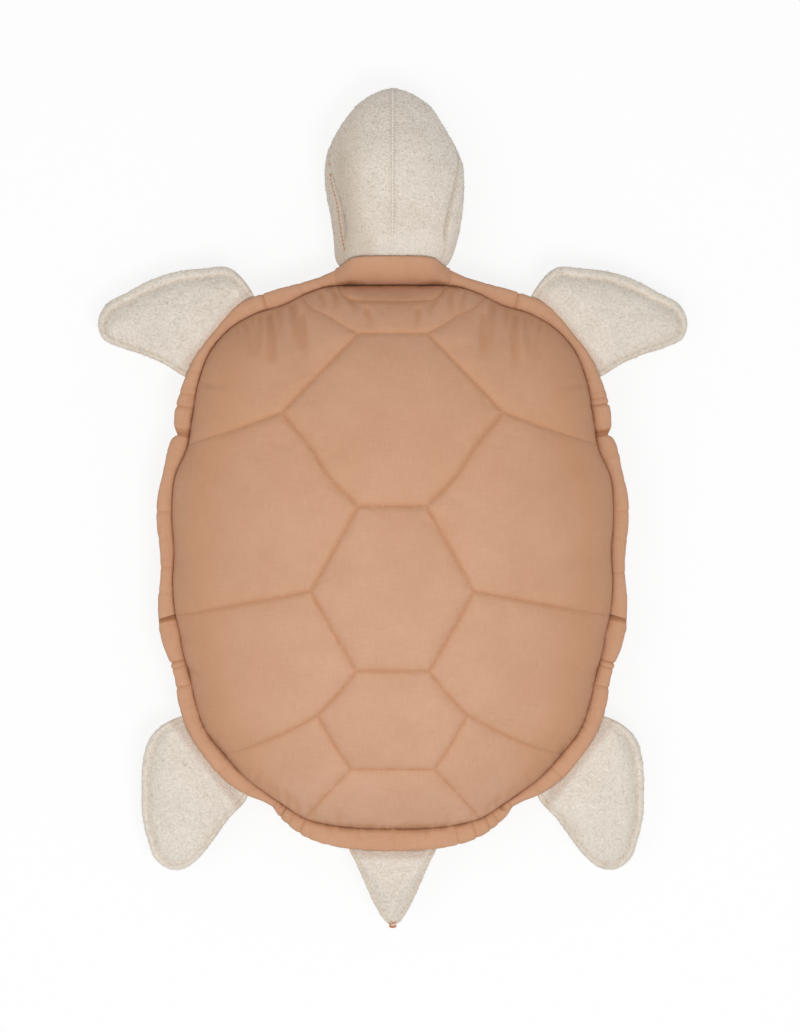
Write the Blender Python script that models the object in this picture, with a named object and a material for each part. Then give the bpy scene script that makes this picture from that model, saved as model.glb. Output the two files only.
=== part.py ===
# Plush sea turtle: a quilted tan shell with a sewn rim, and a cream head, four flippers and a tail.
# It lies on its belly, nose towards +Y and back up, the floor under its middle at the origin.
import math

import bmesh
import bpy
from mathutils import Vector

# Driving sizes of the whole toy
shell_half_width = 0.1685
shell_half_length = 0.211
shell_middle_y = -0.033
seam_height = 0.042
dome_height = 0.078
panel_puff = 0.0028
seam_dip = 0.0034

# Cloth, clearances and small trim
gap = 0.0003
filling_gap = 0.0005
shell_cloth = 0.0026
belly_cloth = 0.0020
limb_cloth = 0.0012
head_cloth = 0.0015
rim_half_thickness = 0.0020
rim_edge_round = 0.0012
weld_reach = 0.00001

# How the shell's height falls from the middle to the stitch line
dome_flat_share = 2.4
dome_edge_share = 0.60
dip_fade_share = 6.0
short_climb_shares = (0.12, 0.50)
long_climb_shares = (0.09, 0.36, 0.68)
panel_ring_shares = (0.0, 0.17, 0.52)
panel_puff_shares = (0.0, 0.25, 0.85)
seam_count = 2
long_seam_count = 3

# Belly: shares of the stitch line's reach, and of the seam's height there
belly_reach_shares = (1.0, 0.93, 0.80, 0.66)
belly_height_shares = (1.0, 0.42, 0.09, 0.0)

# Flippers: root seams on the rim, left side, as a middle point in shares of the shell's half width and
# half length, and an outward direction
front_root_shares = (0.730, 0.7375)
front_root_degrees = 140.0
rear_root_shares = (0.758, -0.686)
rear_root_degrees = 218.2
hinge_out = 0.0090
root_half_width = 0.0365
root_bead = 0.0050
flipper_length = 0.0700
flipper_droop_degrees = 10.0
flipper_edge = 0.00135
flipper_hem = 0.0030
root_swell = 0.0047
flipper_body = 0.0088
flipper_crown = 0.0105
hem_share = 0.15
body_share = 0.52

# Tail
tail_root_degrees = -90.0
tail_root_half = 0.0310
tail_root_clearance = 0.0012
tail_length = 0.0476
tail_droop_degrees = 8.0
tail_body = 0.0110
tail_crown = 0.0130
tail_under_body = 0.0075
tail_under_crown = 0.0085
knot_half_width = 0.0028
knot_half_length = 0.00145
knot_half_height = 0.0016
knot_around_count = 10
knot_ring_count = 6

# Head: the neck is a barrel round the nod axis, in shares of the collar's half width, and the rest
# swells and then rounds to the nose
neck_radius = 0.0250
neck_width_share = 1.071
head_length = 0.1109
head_half_width = 0.0500
head_top = 0.0410
head_under = 0.0340
head_middle_share = 0.40
nose_lift = 0.0015
pole_relief = 0.0012
nose_split_share = 0.07

# Collar over the neck, flared in shares of its half width
collar_clearance = 0.0006
collar_thickness = 0.0040
collar_flare_share = 1.175

# Stitch line and rim edge, left half, front to rear: stitch x and y, then the edge's x and y, all in
# shares of the shell's half width and half length; a root row names its seam and the share along it,
# and a row where a seam or a length of rim ends has a label
rim_row_shares = (
    (0.000, 0.911, "collar", 0.0),
    (0.134, 0.910, "collar", 0.0),
    (0.240, 0.907, 0.243, 0.962, "collar end"),
    (0.376, 0.874, 0.389, 0.917, "nape"),
    (0.461, 0.839, 0.507, 0.893),
    (0.583, 0.812, "front", 1.0),
    (0.681, 0.754, "front", 0.28),
    (0.757, 0.680, "front", -0.36),
    (0.817, 0.592, "front", -1.0),
    (0.851, 0.480, 0.919, 0.480),
    (0.863, 0.371, 0.936, 0.385, "front break"),
    (0.923, 0.263, 0.974, 0.266),
    (0.934, 0.100, 0.998, 0.107),
    (0.919, -0.008, 0.982, -0.021),
    (0.921, -0.205, 0.991, -0.211, "middle break"),
    (0.889, -0.333, 0.959, -0.340),
    (0.842, -0.462, 0.915, -0.462),
    (0.817, -0.533, "rear", 1.0),
    (0.766, -0.618, "rear", 0.33),
    (0.709, -0.676, "rear", -0.14, "haunch"),
    (0.617, -0.760, "rear", -1.0),
    (0.507, -0.825, 0.541, -0.855),
    (0.371, -0.889, 0.405, -0.933, "rear break"),
    (0.218, -0.918, "tail", 1.0),
    (0.000, -0.923, "tail", 0.0),
)
row_of = {row[4]: place for place, row in enumerate(rim_row_shares) if len(row) > 4}

# Corners where the shell's seams meet, left side, in shares of the shell's half width and half length
corner_shares = {
    "front": (0.136, 0.737),
    "shoulder": (0.458, 0.480),
    "waist": (0.128, 0.160),
    "flank": (0.331, -0.103),
    "loin": (0.152, -0.377),
    "hip": (0.303, -0.526),
    "rump": (0.172, -0.710),
}

# Flipper outlines from the root seam round the trailing edge, the tip and the leading edge,
# in shares of the flipper's length: outwards, then along the seam
flipper_root_shares = ((0.98,), (0.33,), (-0.33,), (-0.98,))
front_outline_shares = (
    (0.13, -0.580),
    (0.37, -0.650),
    (0.60, -0.740),
    (0.80, -0.785),
    (0.94, -0.695),
    (1.00, -0.520),
    (0.91, -0.260),
    (0.81, -0.020),
    (0.68, 0.190),
    (0.46, 0.425),
    (0.25, 0.600),
    (0.10, 0.603),
)
rear_outline_shares = (
    (0.15, -0.585),
    (0.41, -0.660),
    (0.65, -0.712),
    (0.82, -0.705),
    (0.94, -0.630),
    (1.00, -0.475),
    (0.93, -0.220),
    (0.83, -0.020),
    (0.66, 0.205),
    (0.47, 0.420),
    (0.29, 0.550),
    (0.09, 0.587),
)
flipper_middle_shares = (0.43, -0.08)

# Half outline of the tail from the root seam's middle to the tip, in shares of its length
tail_outline_shares = (
    (0.10, 0.570),
    (0.27, 0.470),
    (0.45, 0.375),
    (0.64, 0.290),
    (0.82, 0.190),
    (0.95, 0.085),
)
tail_middle_share = 0.40

# Head stations: share of the length before the nod axis, of the half width, of the top and the
# under height, and the side seam's angle above the widest line
head_station_shares = (
    (0.072, 0.898, 0.659, 0.780, 45.0),
    (0.180, 0.940, 0.805, 0.882, 43.0),
    (0.316, 0.984, 0.939, 0.979, 40.0),
    (0.460, 1.002, 1.000, 1.000, 34.0),
    (0.622, 0.892, 0.939, 0.926, 20.0),
    (0.764, 0.732, 0.756, 0.735, 6.0),
    (0.881, 0.536, 0.537, 0.500, 0.0),
    (0.953, 0.306, 0.317, 0.280, 0.0),
)
neck_station_shares = (-0.865, -0.550, 0.0)
neck_seam_degrees = 45.0
upper_count = 3
chin_count = 8

# Collar: share of its half width, and the angle about the nod axis where its edge ends
collar_station_shares = (
    (0.0, 114.0),
    (0.28, 114.0),
    (0.557, 114.5),
    (0.77, 117.0),
    (0.89, 136.0),
    (1.0, 176.0),
)
collar_outer_count = 3
collar_inner_count = 5

# Colours of the two cloths and the thread
tan_cloth = (0.58, 0.33, 0.20, 1.0)
tan_rim = (0.54, 0.30, 0.17, 1.0)
cream_cloth = (0.73, 0.66, 0.58, 1.0)
filling_white = (0.85, 0.84, 0.82, 1.0)
thread_rust = (0.50, 0.20, 0.09, 1.0)
cloth_roughness = 0.95


def start_collection():
    """Empties the file and makes the toy's own collection."""
    for old in list(bpy.data.objects):
        bpy.data.objects.remove(old, do_unlink=True)
    made = bpy.data.collections.new("plush_turtle")
    bpy.context.scene.collection.children.link(made)
    return made


turtle = start_collection()


def stretch(bm, rows, closed, first=None, last=None):
    """Lofts a surface of triangles through rows of points, with a point at either end if given."""
    grid = [[bm.verts.new(p) for p in row] for row in rows]
    steps = len(rows[0]) if closed else len(rows[0]) - 1
    count = len(rows[0])
    for near, far in zip(grid, grid[1:]):
        for i in range(steps):
            j = (i + 1) % count
            bm.faces.new((near[i], near[j], far[j]))
            bm.faces.new((near[i], far[j], far[i]))
    for tip, row in ((first, grid[0]), (last, grid[-1])):
        if tip is None:
            continue
        end = bm.verts.new(tip)
        for i in range(steps):
            bm.faces.new((row[i], row[(i + 1) % count], end))


def cover(outer, inner, closed):
    """A thin closed solid: an outer and an inner surface of the same rows, walled along their border."""
    bm = bmesh.new()
    stretch(bm, outer[0], closed, outer[1], outer[2])
    shift = len(bm.verts)
    stretch(bm, inner[0], closed, inner[1], inner[2])
    bm.verts.ensure_lookup_table()
    bm.verts.index_update()
    border = [e for e in bm.edges if len(e.link_faces) == 1 and e.verts[0].index < shift]
    for edge in border:
        a, b = edge.verts
        c = bm.verts[b.index + shift]
        d = bm.verts[a.index + shift]
        bm.faces.new((a, b, c))
        bm.faces.new((a, c, d))
    return bm


def add_piece(name, bm, colour, pivot=None):
    """Makes one named object from a closed mesh, with its own material and its origin on its joint."""
    origin = Vector(pivot) if pivot else Vector()
    for vert in bm.verts:
        vert.co -= origin
    bmesh.ops.recalc_face_normals(bm, faces=bm.faces[:])
    for face in bm.faces:
        face.smooth = True
    mesh = bpy.data.meshes.new(name)
    bm.to_mesh(mesh)
    bm.free()
    surface = bpy.data.materials.new(name + "_surface")
    surface.use_nodes = True
    shader = surface.node_tree.nodes["Principled BSDF"]
    shader.inputs["Base Color"].default_value = colour
    shader.inputs["Roughness"].default_value = cloth_roughness
    shader.inputs["Metallic"].default_value = 0.0
    surface.diffuse_color = colour
    mesh.materials.append(surface)
    made = bpy.data.objects.new(name, mesh)
    made.location = origin
    turtle.objects.link(made)


def plan_point(x_share, y_share):
    """A point of the left half in plan, from its shares."""
    return (-x_share * shell_half_width, shell_middle_y + y_share * shell_half_length)


def mirrored(points):
    return [(-p[0],) + tuple(p[1:]) for p in points]


# The stitch line: left half front to rear, then the whole loop
stitch_half = [plan_point(row[0], row[1]) for row in rim_row_shares]
stitch_loop = stitch_half + mirrored(stitch_half[-2:0:-1])
corner = {name: plan_point(*share) for name, share in corner_shares.items()}

# The collar ends where the side rim starts, and the nod axis lies so far before the stitch line that
# the collar fits over the neck
collar_half_width = -stitch_half[row_of["collar end"]][0]
collar_flare = collar_half_width * collar_flare_share
neck_half_width = collar_half_width * neck_width_share
neck_axis_y = stitch_half[0][1] + gap + collar_thickness + collar_clearance + neck_radius


def reach(x, y):
    """Share of the way from the shell's middle to the stitch line through a plan point."""
    px = x
    py = y - shell_middle_y
    found = 0.0
    for i, start in enumerate(stitch_loop):
        end = stitch_loop[(i + 1) % len(stitch_loop)]
        ax = start[0]
        ay = start[1] - shell_middle_y
        ex = end[0] - start[0]
        ey = end[1] - start[1]
        slant = px * ey - py * ex
        if slant == 0:
            continue
        far = (ax * ey - ay * ex) / slant
        along = (ax * py - ay * px) / slant
        if far > 0 and -weld_reach <= along <= 1 + weld_reach:
            found = max(found, 1 / far)
    return min(found, 1.0)


def dome_point(x, y, puff, dip):
    """The shell's outside above a plan point, raised by a puff or drawn in by a seam."""
    share = reach(x, y)
    rise = max(0.0, 1 - share ** dome_flat_share) ** dome_edge_share
    fade = 1 - share ** dip_fade_share
    base = seam_height + rim_half_thickness + gap
    return (x, y, base + dome_height * rise + (puff - dip) * fade)


def drawn_in(p, plan_depth, height_depth, height):
    """A point drawn towards the shell's middle by a depth at its widest and one at its full height."""
    plan = 1 - plan_depth / shell_half_width
    rise = 1 - height_depth / height
    x = p[0] * plan
    y = shell_middle_y + (p[1] - shell_middle_y) * plan
    z = seam_height + (p[2] - seam_height) * rise
    return (x, y, z)


def under_dome(depth):
    return lambda p: drawn_in(p, depth, depth, dome_height)


def over_belly(depth):
    return lambda p: drawn_in(p, depth, depth, seam_height)


def toward(a, b, share):
    return tuple(s + (t - s) * share for s, t in zip(a, b))


def shifted(a, b, distance):
    """Point a moved towards point b by a distance."""
    start = Vector(a)
    return tuple(start + (Vector(b) - start).normalized() * distance)


def seam(start, end, count=seam_count):
    """Points along a straight seam in plan, with its start and without its end."""
    return [toward(start, end, i / count) for i in range(count)]


def climb(rim_end, inner_end, shares):
    """Points along a seam that climbs from the stitch line, with both ends."""
    return [rim_end] + [toward(rim_end, inner_end, share) for share in shares] + [inner_end]


def puffed_rows(border):
    """Rings of one shell panel from its border inwards, and its crown point."""
    count = len(border)
    middle = (sum(p[0] for p in border) / count, sum(p[1] for p in border) / count)
    rows = []
    for ring, puff in zip(panel_ring_shares, panel_puff_shares):
        dip = seam_dip if ring == 0 else 0.0
        rows.append([dome_point(*toward(p, middle, ring), panel_puff * puff, dip) for p in border])
    return rows, dome_point(*middle, panel_puff, 0.0)


# Borders of the thirteen shell panels, each list without its last point
front = corner["front"]
shoulder = corner["shoulder"]
waist = corner["waist"]
flank = corner["flank"]
loin = corner["loin"]
hip = corner["hip"]
rump = corner["rump"]
nape = stitch_half[row_of["nape"]]
side_front = stitch_half[row_of["front break"]]
side_rear = stitch_half[row_of["middle break"]]
haunch = stitch_half[row_of["haunch"]]
tail_side = stitch_half[row_of["rear break"]]
nape_climb = climb(nape, front, short_climb_shares)
side_climb = climb(side_front, shoulder, short_climb_shares)
flank_climb = climb(side_rear, flank, long_climb_shares)
hip_climb = climb(haunch, hip, short_climb_shares)
rump_climb = climb(tail_side, rump, short_climb_shares)


def flip(p):
    return (-p[0], p[1])


def centre_border(left_side, top, bottom):
    """Border of a centre panel: down the left side, across, up the right side and back across."""
    right_side = [flip(bottom)] + [flip(p) for p in reversed(left_side[1:])]
    across = seam(bottom, flip(bottom))
    back = seam(flip(top), top)
    return left_side + across + right_side + back


panel_borders = {}
nape_arc = stitch_half[row_of["nape"]:0:-1]
panel_borders["shell_panel_front"] = (
    nape_climb[:-1]
    + seam(front, flip(front))
    + [flip(p) for p in reversed(nape_climb[1:])]
    + [flip(p) for p in nape_arc]
    + stitch_half[0:row_of["nape"]]
)
panel_borders["shell_panel_centre_1"] = centre_border(
    seam(front, shoulder) + seam(shoulder, waist, long_seam_count), front, waist
)
panel_borders["shell_panel_centre_2"] = centre_border(seam(waist, flank) + seam(flank, loin), waist, loin)
panel_borders["shell_panel_centre_3"] = centre_border(seam(loin, hip) + seam(hip, rump), loin, rump)
panel_borders["shell_panel_rear"] = (
    rump_climb[:0:-1]
    + stitch_half[row_of["rear break"]:]
    + [flip(p) for p in stitch_half[-2:row_of["rear break"]:-1]]
    + [flip(p) for p in rump_climb[:-1]]
    + seam(flip(rump), rump)
)
side_borders = (
    nape_climb[:-1]
    + seam(front, shoulder)
    + side_climb[:0:-1]
    + stitch_half[row_of["front break"]:row_of["nape"]:-1],
    side_climb[:-1]
    + seam(shoulder, waist, long_seam_count)
    + seam(waist, flank)
    + flank_climb[:0:-1]
    + stitch_half[row_of["middle break"]:row_of["front break"]:-1],
    flank_climb[:-1]
    + seam(flank, loin)
    + seam(loin, hip)
    + hip_climb[:0:-1]
    + stitch_half[row_of["haunch"]:row_of["middle break"]:-1],
    hip_climb[:-1]
    + seam(hip, rump)
    + rump_climb[:0:-1]
    + stitch_half[row_of["rear break"]:row_of["haunch"]:-1],
)
for number, border in enumerate(side_borders, 1):
    panel_borders["shell_panel_left_" + str(number)] = border
    panel_borders["shell_panel_right_" + str(number)] = mirrored(border)


# Shell panels, each drawn back a little from its seams
inside_cloth = under_dome(shell_cloth)
inside_filling = under_dome(shell_cloth + filling_gap)
core = bmesh.new()
for name, border in panel_borders.items():
    rows, crown = puffed_rows(border)
    stretch(core, [[inside_filling(p) for p in row] for row in rows], True, None, inside_filling(crown))
    trimmed = [shifted(p, q, gap) for p, q in zip(rows[0], rows[1])]
    outer = [trimmed] + rows[1:]
    inner = [[inside_cloth(p) for p in row] for row in outer]
    add_piece(name, cover((outer, None, crown), (inner, None, inside_cloth(crown)), True), tan_cloth)


def belly_rows(loop):
    """Rings of the belly under a run of the stitch line, from the rim to the flat underside."""
    top = seam_height - rim_half_thickness - gap
    rows = []
    for share, height in zip(belly_reach_shares, belly_height_shares):
        rows.append([toward((0.0, shell_middle_y), p, share) + (top * height,) for p in loop])
    return rows


# Filling of the shell: the panels' and the belly's insides, joined by a narrow wall behind the rim
belly_inside_filling = over_belly(belly_cloth + filling_gap)
belly_inside_cloth = over_belly(belly_cloth)


def belly_filling_point(p):
    plan = inside_filling(p)
    return (plan[0], plan[1], belly_inside_filling(p)[2])


def belly_cloth_point(p):
    plan = inside_cloth(p)
    return (plan[0], plan[1], belly_inside_cloth(p)[2])


belly_loop_rows = belly_rows(stitch_loop)
core_belly = [[belly_filling_point(p) for p in row] for row in belly_loop_rows]
stretch(core, core_belly, True, None, belly_filling_point((0.0, shell_middle_y, 0.0)))
core_brim = [inside_filling(dome_point(p[0], p[1], 0.0, 0.0)) for p in stitch_loop]
stretch(core, [core_brim, core_belly[0]], True)
bmesh.ops.remove_doubles(core, verts=core.verts[:], dist=weld_reach)
add_piece("shell_filling", core, filling_white)


def belly_panel(name, side):
    half = [(side * p[0], p[1]) for p in stitch_half]
    rows = belly_rows(half)
    edge = side * -gap / 2
    for row in rows:
        for end in (0, -1):
            row[end] = (edge,) + tuple(row[end][1:])
    middle = (edge, shell_middle_y, 0.0)
    inner = [[belly_cloth_point(p) for p in row] for row in rows]
    add_piece(name, cover((rows, None, middle), (inner, None, belly_cloth_point(middle)), False), tan_cloth)


belly_panel("belly_panel_left", 1)
belly_panel("belly_panel_right", -1)


groove_reach = root_bead + gap


class Root:
    """A straight root seam on the left of the rim: the axis a flat limb turns on, and its directions."""

    def __init__(self, middle, degrees, out, half_width, droop):
        x, y = middle
        turn = math.radians(degrees)
        dip = math.radians(droop)
        self.out = Vector((math.cos(turn), math.sin(turn), 0.0))
        self.along = Vector((math.sin(turn), -math.cos(turn), 0.0))
        self.pivot = Vector((x, y, seam_height)) + self.out * out
        self.half_width = half_width
        self.limb_out = self.out * math.cos(dip) - Vector((0, 0, math.sin(dip)))
        self.limb_up = self.out * math.sin(dip) + Vector((0, 0, math.cos(dip)))

    def place(self, p):
        """A limb point, outwards, along the seam and up, set in the toy."""
        spot = self.pivot + self.limb_out * p[0] + self.along * p[1] + self.limb_up * p[2]
        return tuple(spot)

    def rim_edge(self, share):
        """The three rim points facing the bead at a share along the seam: top, middle and bottom."""
        lip = math.sqrt(groove_reach ** 2 - rim_half_thickness ** 2)
        start = self.pivot + self.along * self.half_width * share
        rise = Vector((0, 0, rim_half_thickness))
        return (start - self.out * lip + rise, start - self.out * groove_reach, start - self.out * lip - rise)


front_root = plan_point(*front_root_shares)
rear_root = plan_point(*rear_root_shares)
tail_root = (0.0, shell_middle_y - shell_half_length)
roots = {
    "front": Root(front_root, front_root_degrees, hinge_out, root_half_width, flipper_droop_degrees),
    "rear": Root(rear_root, rear_root_degrees, hinge_out, root_half_width, flipper_droop_degrees),
    "tail": Root(tail_root, tail_root_degrees, groove_reach, tail_root_half, tail_droop_degrees),
}


def rim_section(index):
    """Section of the rim at a row: inner bottom and top, then the edge's top, middle and bottom."""
    row = rim_row_shares[index]
    stitch = stitch_half[index]
    inner = inside_cloth((stitch[0], stitch[1], seam_height))
    low = seam_height - rim_half_thickness
    high = seam_height + rim_half_thickness
    if isinstance(row[2], str):
        edge = [tuple(p) for p in roots[row[2]].rim_edge(row[3])]
    else:
        x, y = plan_point(row[2], row[3])
        back = shifted((x, y), stitch, rim_edge_round)
        edge = [(back[0], back[1], high), (x, y, seam_height), (back[0], back[1], low)]
    return [(inner[0], inner[1], low), (inner[0], inner[1], high)] + edge


def ended(sections):
    """The sections with both end ones drawn back by half a gap."""
    first = [shifted(p, q, gap / 2) for p, q in zip(sections[0], sections[1])]
    last = [shifted(p, q, gap / 2) for p, q in zip(sections[-1], sections[-2])]
    return [first] + sections[1:-1] + [last]


def band(sections):
    """A closed solid lofted through sections, flat at both ends."""
    bm = bmesh.new()
    stretch(bm, sections, True)
    bmesh.ops.holes_fill(bm, edges=bm.edges[:], sides=0)
    bmesh.ops.triangulate(bm, faces=[f for f in bm.faces if len(f.verts) > 3])
    return bm


def flip_section(section):
    return [(-p[0],) + tuple(p[1:]) for p in section]


rim_runs = (
    ("rim_front", row_of["collar end"], row_of["front break"]),
    ("rim_middle", row_of["front break"], row_of["middle break"]),
    ("rim_rear", row_of["middle break"], row_of["rear break"]),
)
for name, start, stop in rim_runs:
    sections = ended([rim_section(i) for i in range(start, stop + 1)])
    add_piece(name + "_left", band(sections), tan_rim)
    add_piece(name + "_right", band([flip_section(s) for s in sections]), tan_rim)
last_row = len(rim_row_shares) - 1
tail_half = [rim_section(i) for i in range(row_of["rear break"], last_row + 1)]
tail_run = tail_half + [flip_section(s) for s in reversed(tail_half[:-1])]
add_piece("rim_tail", band(ended(tail_run)), tan_rim)


def collar_stitch(x):
    """The stitch line's y under the collar at a distance from the middle."""
    for a, b in zip(stitch_half, stitch_half[1:]):
        if -b[0] >= x:
            return a[1] + (b[1] - a[1]) * (x + a[0]) / (a[0] - b[0])
    return stitch_half[row_of["collar end"]][1]


def collar_section(share, degrees):
    """Section of the collar: its foot on the seam, then the band that arches over the neck."""
    x = share * (collar_half_width - gap)
    stitch_y = collar_stitch(x)
    foot = inside_cloth((-x, stitch_y, seam_height))
    low = seam_height - rim_half_thickness
    high = seam_height + rim_half_thickness
    radius = (neck_radius + collar_clearance) * math.sqrt(1 - (x / collar_flare) ** 2)
    outside = radius + collar_thickness
    end = math.radians(degrees)
    points = [(foot[0], foot[1], low), (foot[0], foot[1], high), (-x, stitch_y, high)]
    start = math.pi - math.asin(rim_half_thickness / outside)
    for i in range(1, collar_outer_count + 1):
        turn = start + (end - start) * i / collar_outer_count
        points.append((-x, neck_axis_y + outside * math.cos(turn), seam_height + outside * math.sin(turn)))
    stop = math.pi + math.asin(rim_half_thickness / radius)
    for i in range(collar_inner_count + 1):
        turn = end + (stop - end) * i / collar_inner_count
        points.append((-x, neck_axis_y + radius * math.cos(turn), seam_height + radius * math.sin(turn)))
    return points


collar_half = [collar_section(*station) for station in reversed(collar_station_shares)]
collar_run = collar_half + [flip_section(s) for s in reversed(collar_half[:-1])]
add_piece("rim_collar", band(collar_run), tan_rim)


def lowered(rows, depth):
    return [[(p[0], p[1], p[2] - depth) for p in row] for row in rows]


def limb_rows(outline, root_points, middle, body, crown):
    """Rings of one side of a flat limb: its edge, its hem (a bead at the root), its body and crown."""
    edge = [(p[0], p[1], flipper_edge) for p in outline]
    hem = []
    for i, p in enumerate(outline):
        height = root_swell if i in root_points else flipper_hem
        hem.append(toward(p, middle, hem_share) + (height,))
    swell = [toward(p, middle, body_share) + (body,) for p in outline]
    return [edge, hem, swell], (middle[0], middle[1], crown)


def placed(rows, put):
    return [[put(p) for p in row] for row in rows]


def mirror_z(p):
    return (p[0], p[1], -p[2])


def limb_pieces(name, root, side, outline, middle):
    """The upper and lower cover and the batting of one flipper."""

    def put(p):
        spot = root.place(p)
        return (side * spot[0], spot[1], spot[2])

    pivot = (side * root.pivot.x, root.pivot.y, root.pivot.z)
    rows, crown = limb_rows(outline, flipper_root_points, middle, flipper_body, flipper_crown)
    inner = lowered(rows, limb_cloth)
    inner_crown = (crown[0], crown[1], crown[2] - limb_cloth)
    fill = lowered(rows[1:], limb_cloth + gap)
    fill_crown = (crown[0], crown[1], crown[2] - limb_cloth - gap)
    for word, turn in (("upper", lambda p: p), ("lower", mirror_z)):
        whole = [placed(part, lambda p: put(turn(p))) for part in (rows, inner)]
        skin = cover((whole[0], None, put(turn(crown))), (whole[1], None, put(turn(inner_crown))), True)
        add_piece(name + "_" + word, skin, cream_cloth, pivot)
    bm = bmesh.new()
    top = placed(fill, put)
    base = placed(fill, lambda p: put(mirror_z(p)))
    stretch(bm, top, True, None, put(fill_crown))
    stretch(bm, base, True, None, put(mirror_z(fill_crown)))
    stretch(bm, [top[0], base[0]], True)
    bmesh.ops.remove_doubles(bm, verts=bm.verts[:], dist=weld_reach)
    add_piece(name + "_batting", bm, filling_white, pivot)


def flipper_outline(shares):
    """A flipper's whole outline: four points along the root bead, then the free edge."""
    back = -math.sqrt(root_bead ** 2 - flipper_edge ** 2)
    outline = [(back, share[0] * root_half_width) for share in flipper_root_shares]
    return outline + [(p[0] * flipper_length, p[1] * flipper_length) for p in shares]


flipper_middle = tuple(share * flipper_length for share in flipper_middle_shares)
flipper_root_points = range(len(flipper_root_shares))
for place, shares in (("front", front_outline_shares), ("rear", rear_outline_shares)):
    for hand, side in (("left", 1), ("right", -1)):
        name = "flipper_" + place + "_" + hand
        limb_pieces(name, roots[place], side, flipper_outline(shares), flipper_middle)


def tail_pieces(root):
    """The tail's two upper panels, its under panel, its filling and the knot at its tip."""
    back = -math.sqrt(root_bead ** 2 - flipper_edge ** 2)
    half = [(back, 0.0), (back, tail_root_half / 2), (back, tail_root_half - tail_root_clearance)]
    root_points = range(len(half))
    half += [(p[0] * tail_length, p[1] * tail_length) for p in tail_outline_shares]
    half.append((tail_length, 0.0))
    middle = (tail_middle_share * tail_length, 0.0)
    rows, crown = limb_rows(half, root_points, middle, tail_body, tail_crown)
    pivot = tuple(root.pivot)
    for word, side in (("left", 1), ("right", -1)):

        def put(p):
            return root.place((p[0], side * max(p[1], gap / 2), p[2]))

        inner = lowered(rows, limb_cloth)
        inner_crown = (crown[0], crown[1], crown[2] - limb_cloth)
        outside = (placed(rows, put), None, put(crown))
        inside = (placed(inner, put), None, put(inner_crown))
        skin = cover(outside, inside, False)
        add_piece("tail_upper_" + word, skin, cream_cloth, pivot)

    def whole(rows_half):
        made = []
        for row in rows_half:
            made.append(list(row) + [(p[0], -p[1], p[2]) for p in reversed(row[1:-1])])
        return made

    under, under_crown = limb_rows(half, root_points, middle, tail_under_body, tail_under_crown)
    under = whole(under)
    inner = lowered(under, limb_cloth)
    under_inner_crown = (under_crown[0], under_crown[1], under_crown[2] - limb_cloth)

    def put_under(p):
        return root.place(mirror_z(p))

    skin = cover(
        (placed(under, put_under), None, put_under(under_crown)),
        (placed(inner, put_under), None, put_under(under_inner_crown)),
        True,
    )
    add_piece("tail_under", skin, cream_cloth, pivot)
    depth = limb_cloth + gap
    top = lowered(rows[1:], depth)
    low = placed(lowered(under[1:], depth), put_under)
    peak = root.place((crown[0], 0.0, crown[2] - depth))
    base = put_under((under_crown[0], 0.0, under_crown[2] - depth))
    bm = bmesh.new()
    for side in (1, -1):
        half_top = [[root.place((p[0], side * p[1], p[2])) for p in row] for row in top]
        stretch(bm, half_top, False, None, peak)
    stretch(bm, low, True, None, base)
    stretch(bm, [placed(whole(top[:1]), root.place)[0], low[0]], True)
    bmesh.ops.remove_doubles(bm, verts=bm.verts[:], dist=weld_reach)
    add_piece("tail_filling", bm, filling_white, pivot)
    knot = bmesh.new()
    bmesh.ops.create_uvsphere(knot, u_segments=knot_around_count, v_segments=knot_ring_count, radius=1.0)
    for vert in knot.verts:
        far = tail_length + gap + knot_half_length * (1 + vert.co.x)
        vert.co = root.place((far, -knot_half_width * vert.co.y, knot_half_height * vert.co.z))
    add_piece("tail_knot", knot, thread_rust, pivot)


tail_pieces(roots["tail"])


# Head stations: distance before the nod axis, half width, top and under height, side seam angle
head_stations = []
for share in neck_station_shares:
    narrow = math.sqrt(1 - share ** 2)
    neck = (share * neck_radius, neck_half_width * narrow, neck_radius * narrow, neck_radius * narrow)
    head_stations.append(neck + (neck_seam_degrees,))
for far, wide, top, under, degrees in head_station_shares:
    size = (far * head_length, wide * head_half_width, top * head_top, under * head_under)
    head_stations.append(size + (degrees,))


def head_angles(degrees):
    """Angles round a station: left upper panel from the top down, chin panel, right upper panel."""
    left = [math.radians(90 + (90 - degrees) * i / upper_count) for i in range(upper_count + 1)]
    span = 180 + 2 * degrees
    chin = [math.radians(180 - degrees + span * i / chin_count) for i in range(chin_count + 1)]
    right = [math.pi - a for a in reversed(left)]
    return left, chin, right


def head_point(station, angle, depth):
    """A point of the head's outside, or of a layer at a depth inside it."""
    far, wide, top, under, _ = station
    middle = head_middle_share * head_length
    y = middle + (far - middle) * (1 - depth / (head_length / 2))
    tall = top if math.sin(angle) >= 0 else under
    x = (wide - depth) * math.cos(angle)
    z = (tall - depth) * math.sin(angle)
    return (x, neck_axis_y + y, seam_height + z)


def head_rows(part, depth):
    return [[head_point(s, a, depth) for a in head_angles(s[4])[part]] for s in head_stations]


def nose_point(depth):
    return (0.0, neck_axis_y + head_length - depth, seam_height + nose_lift)


nod_axis = (0.0, neck_axis_y, seam_height)


def head_panel(name, part):
    """One of the head's sewn panels, drawn back from its seams."""
    sides = []
    for depth in (0.0, head_cloth):
        rows = head_rows(part, depth)
        for row in rows:
            row[0] = shifted(row[0], row[1], gap / 2)
            row[-1] = shifted(row[-1], row[-2], gap / 2)
        last = rows[-1]
        middle = tuple(sum(p[k] for p in last) / len(last) for k in range(3))
        sides.append((rows, None, toward(nose_point(depth), middle, nose_split_share)))
    add_piece(name, cover(sides[0], sides[1], False), cream_cloth, nod_axis)


head_panel("head_upper_left", 0)
head_panel("head_chin", 1)
head_panel("head_upper_right", 2)

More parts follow.
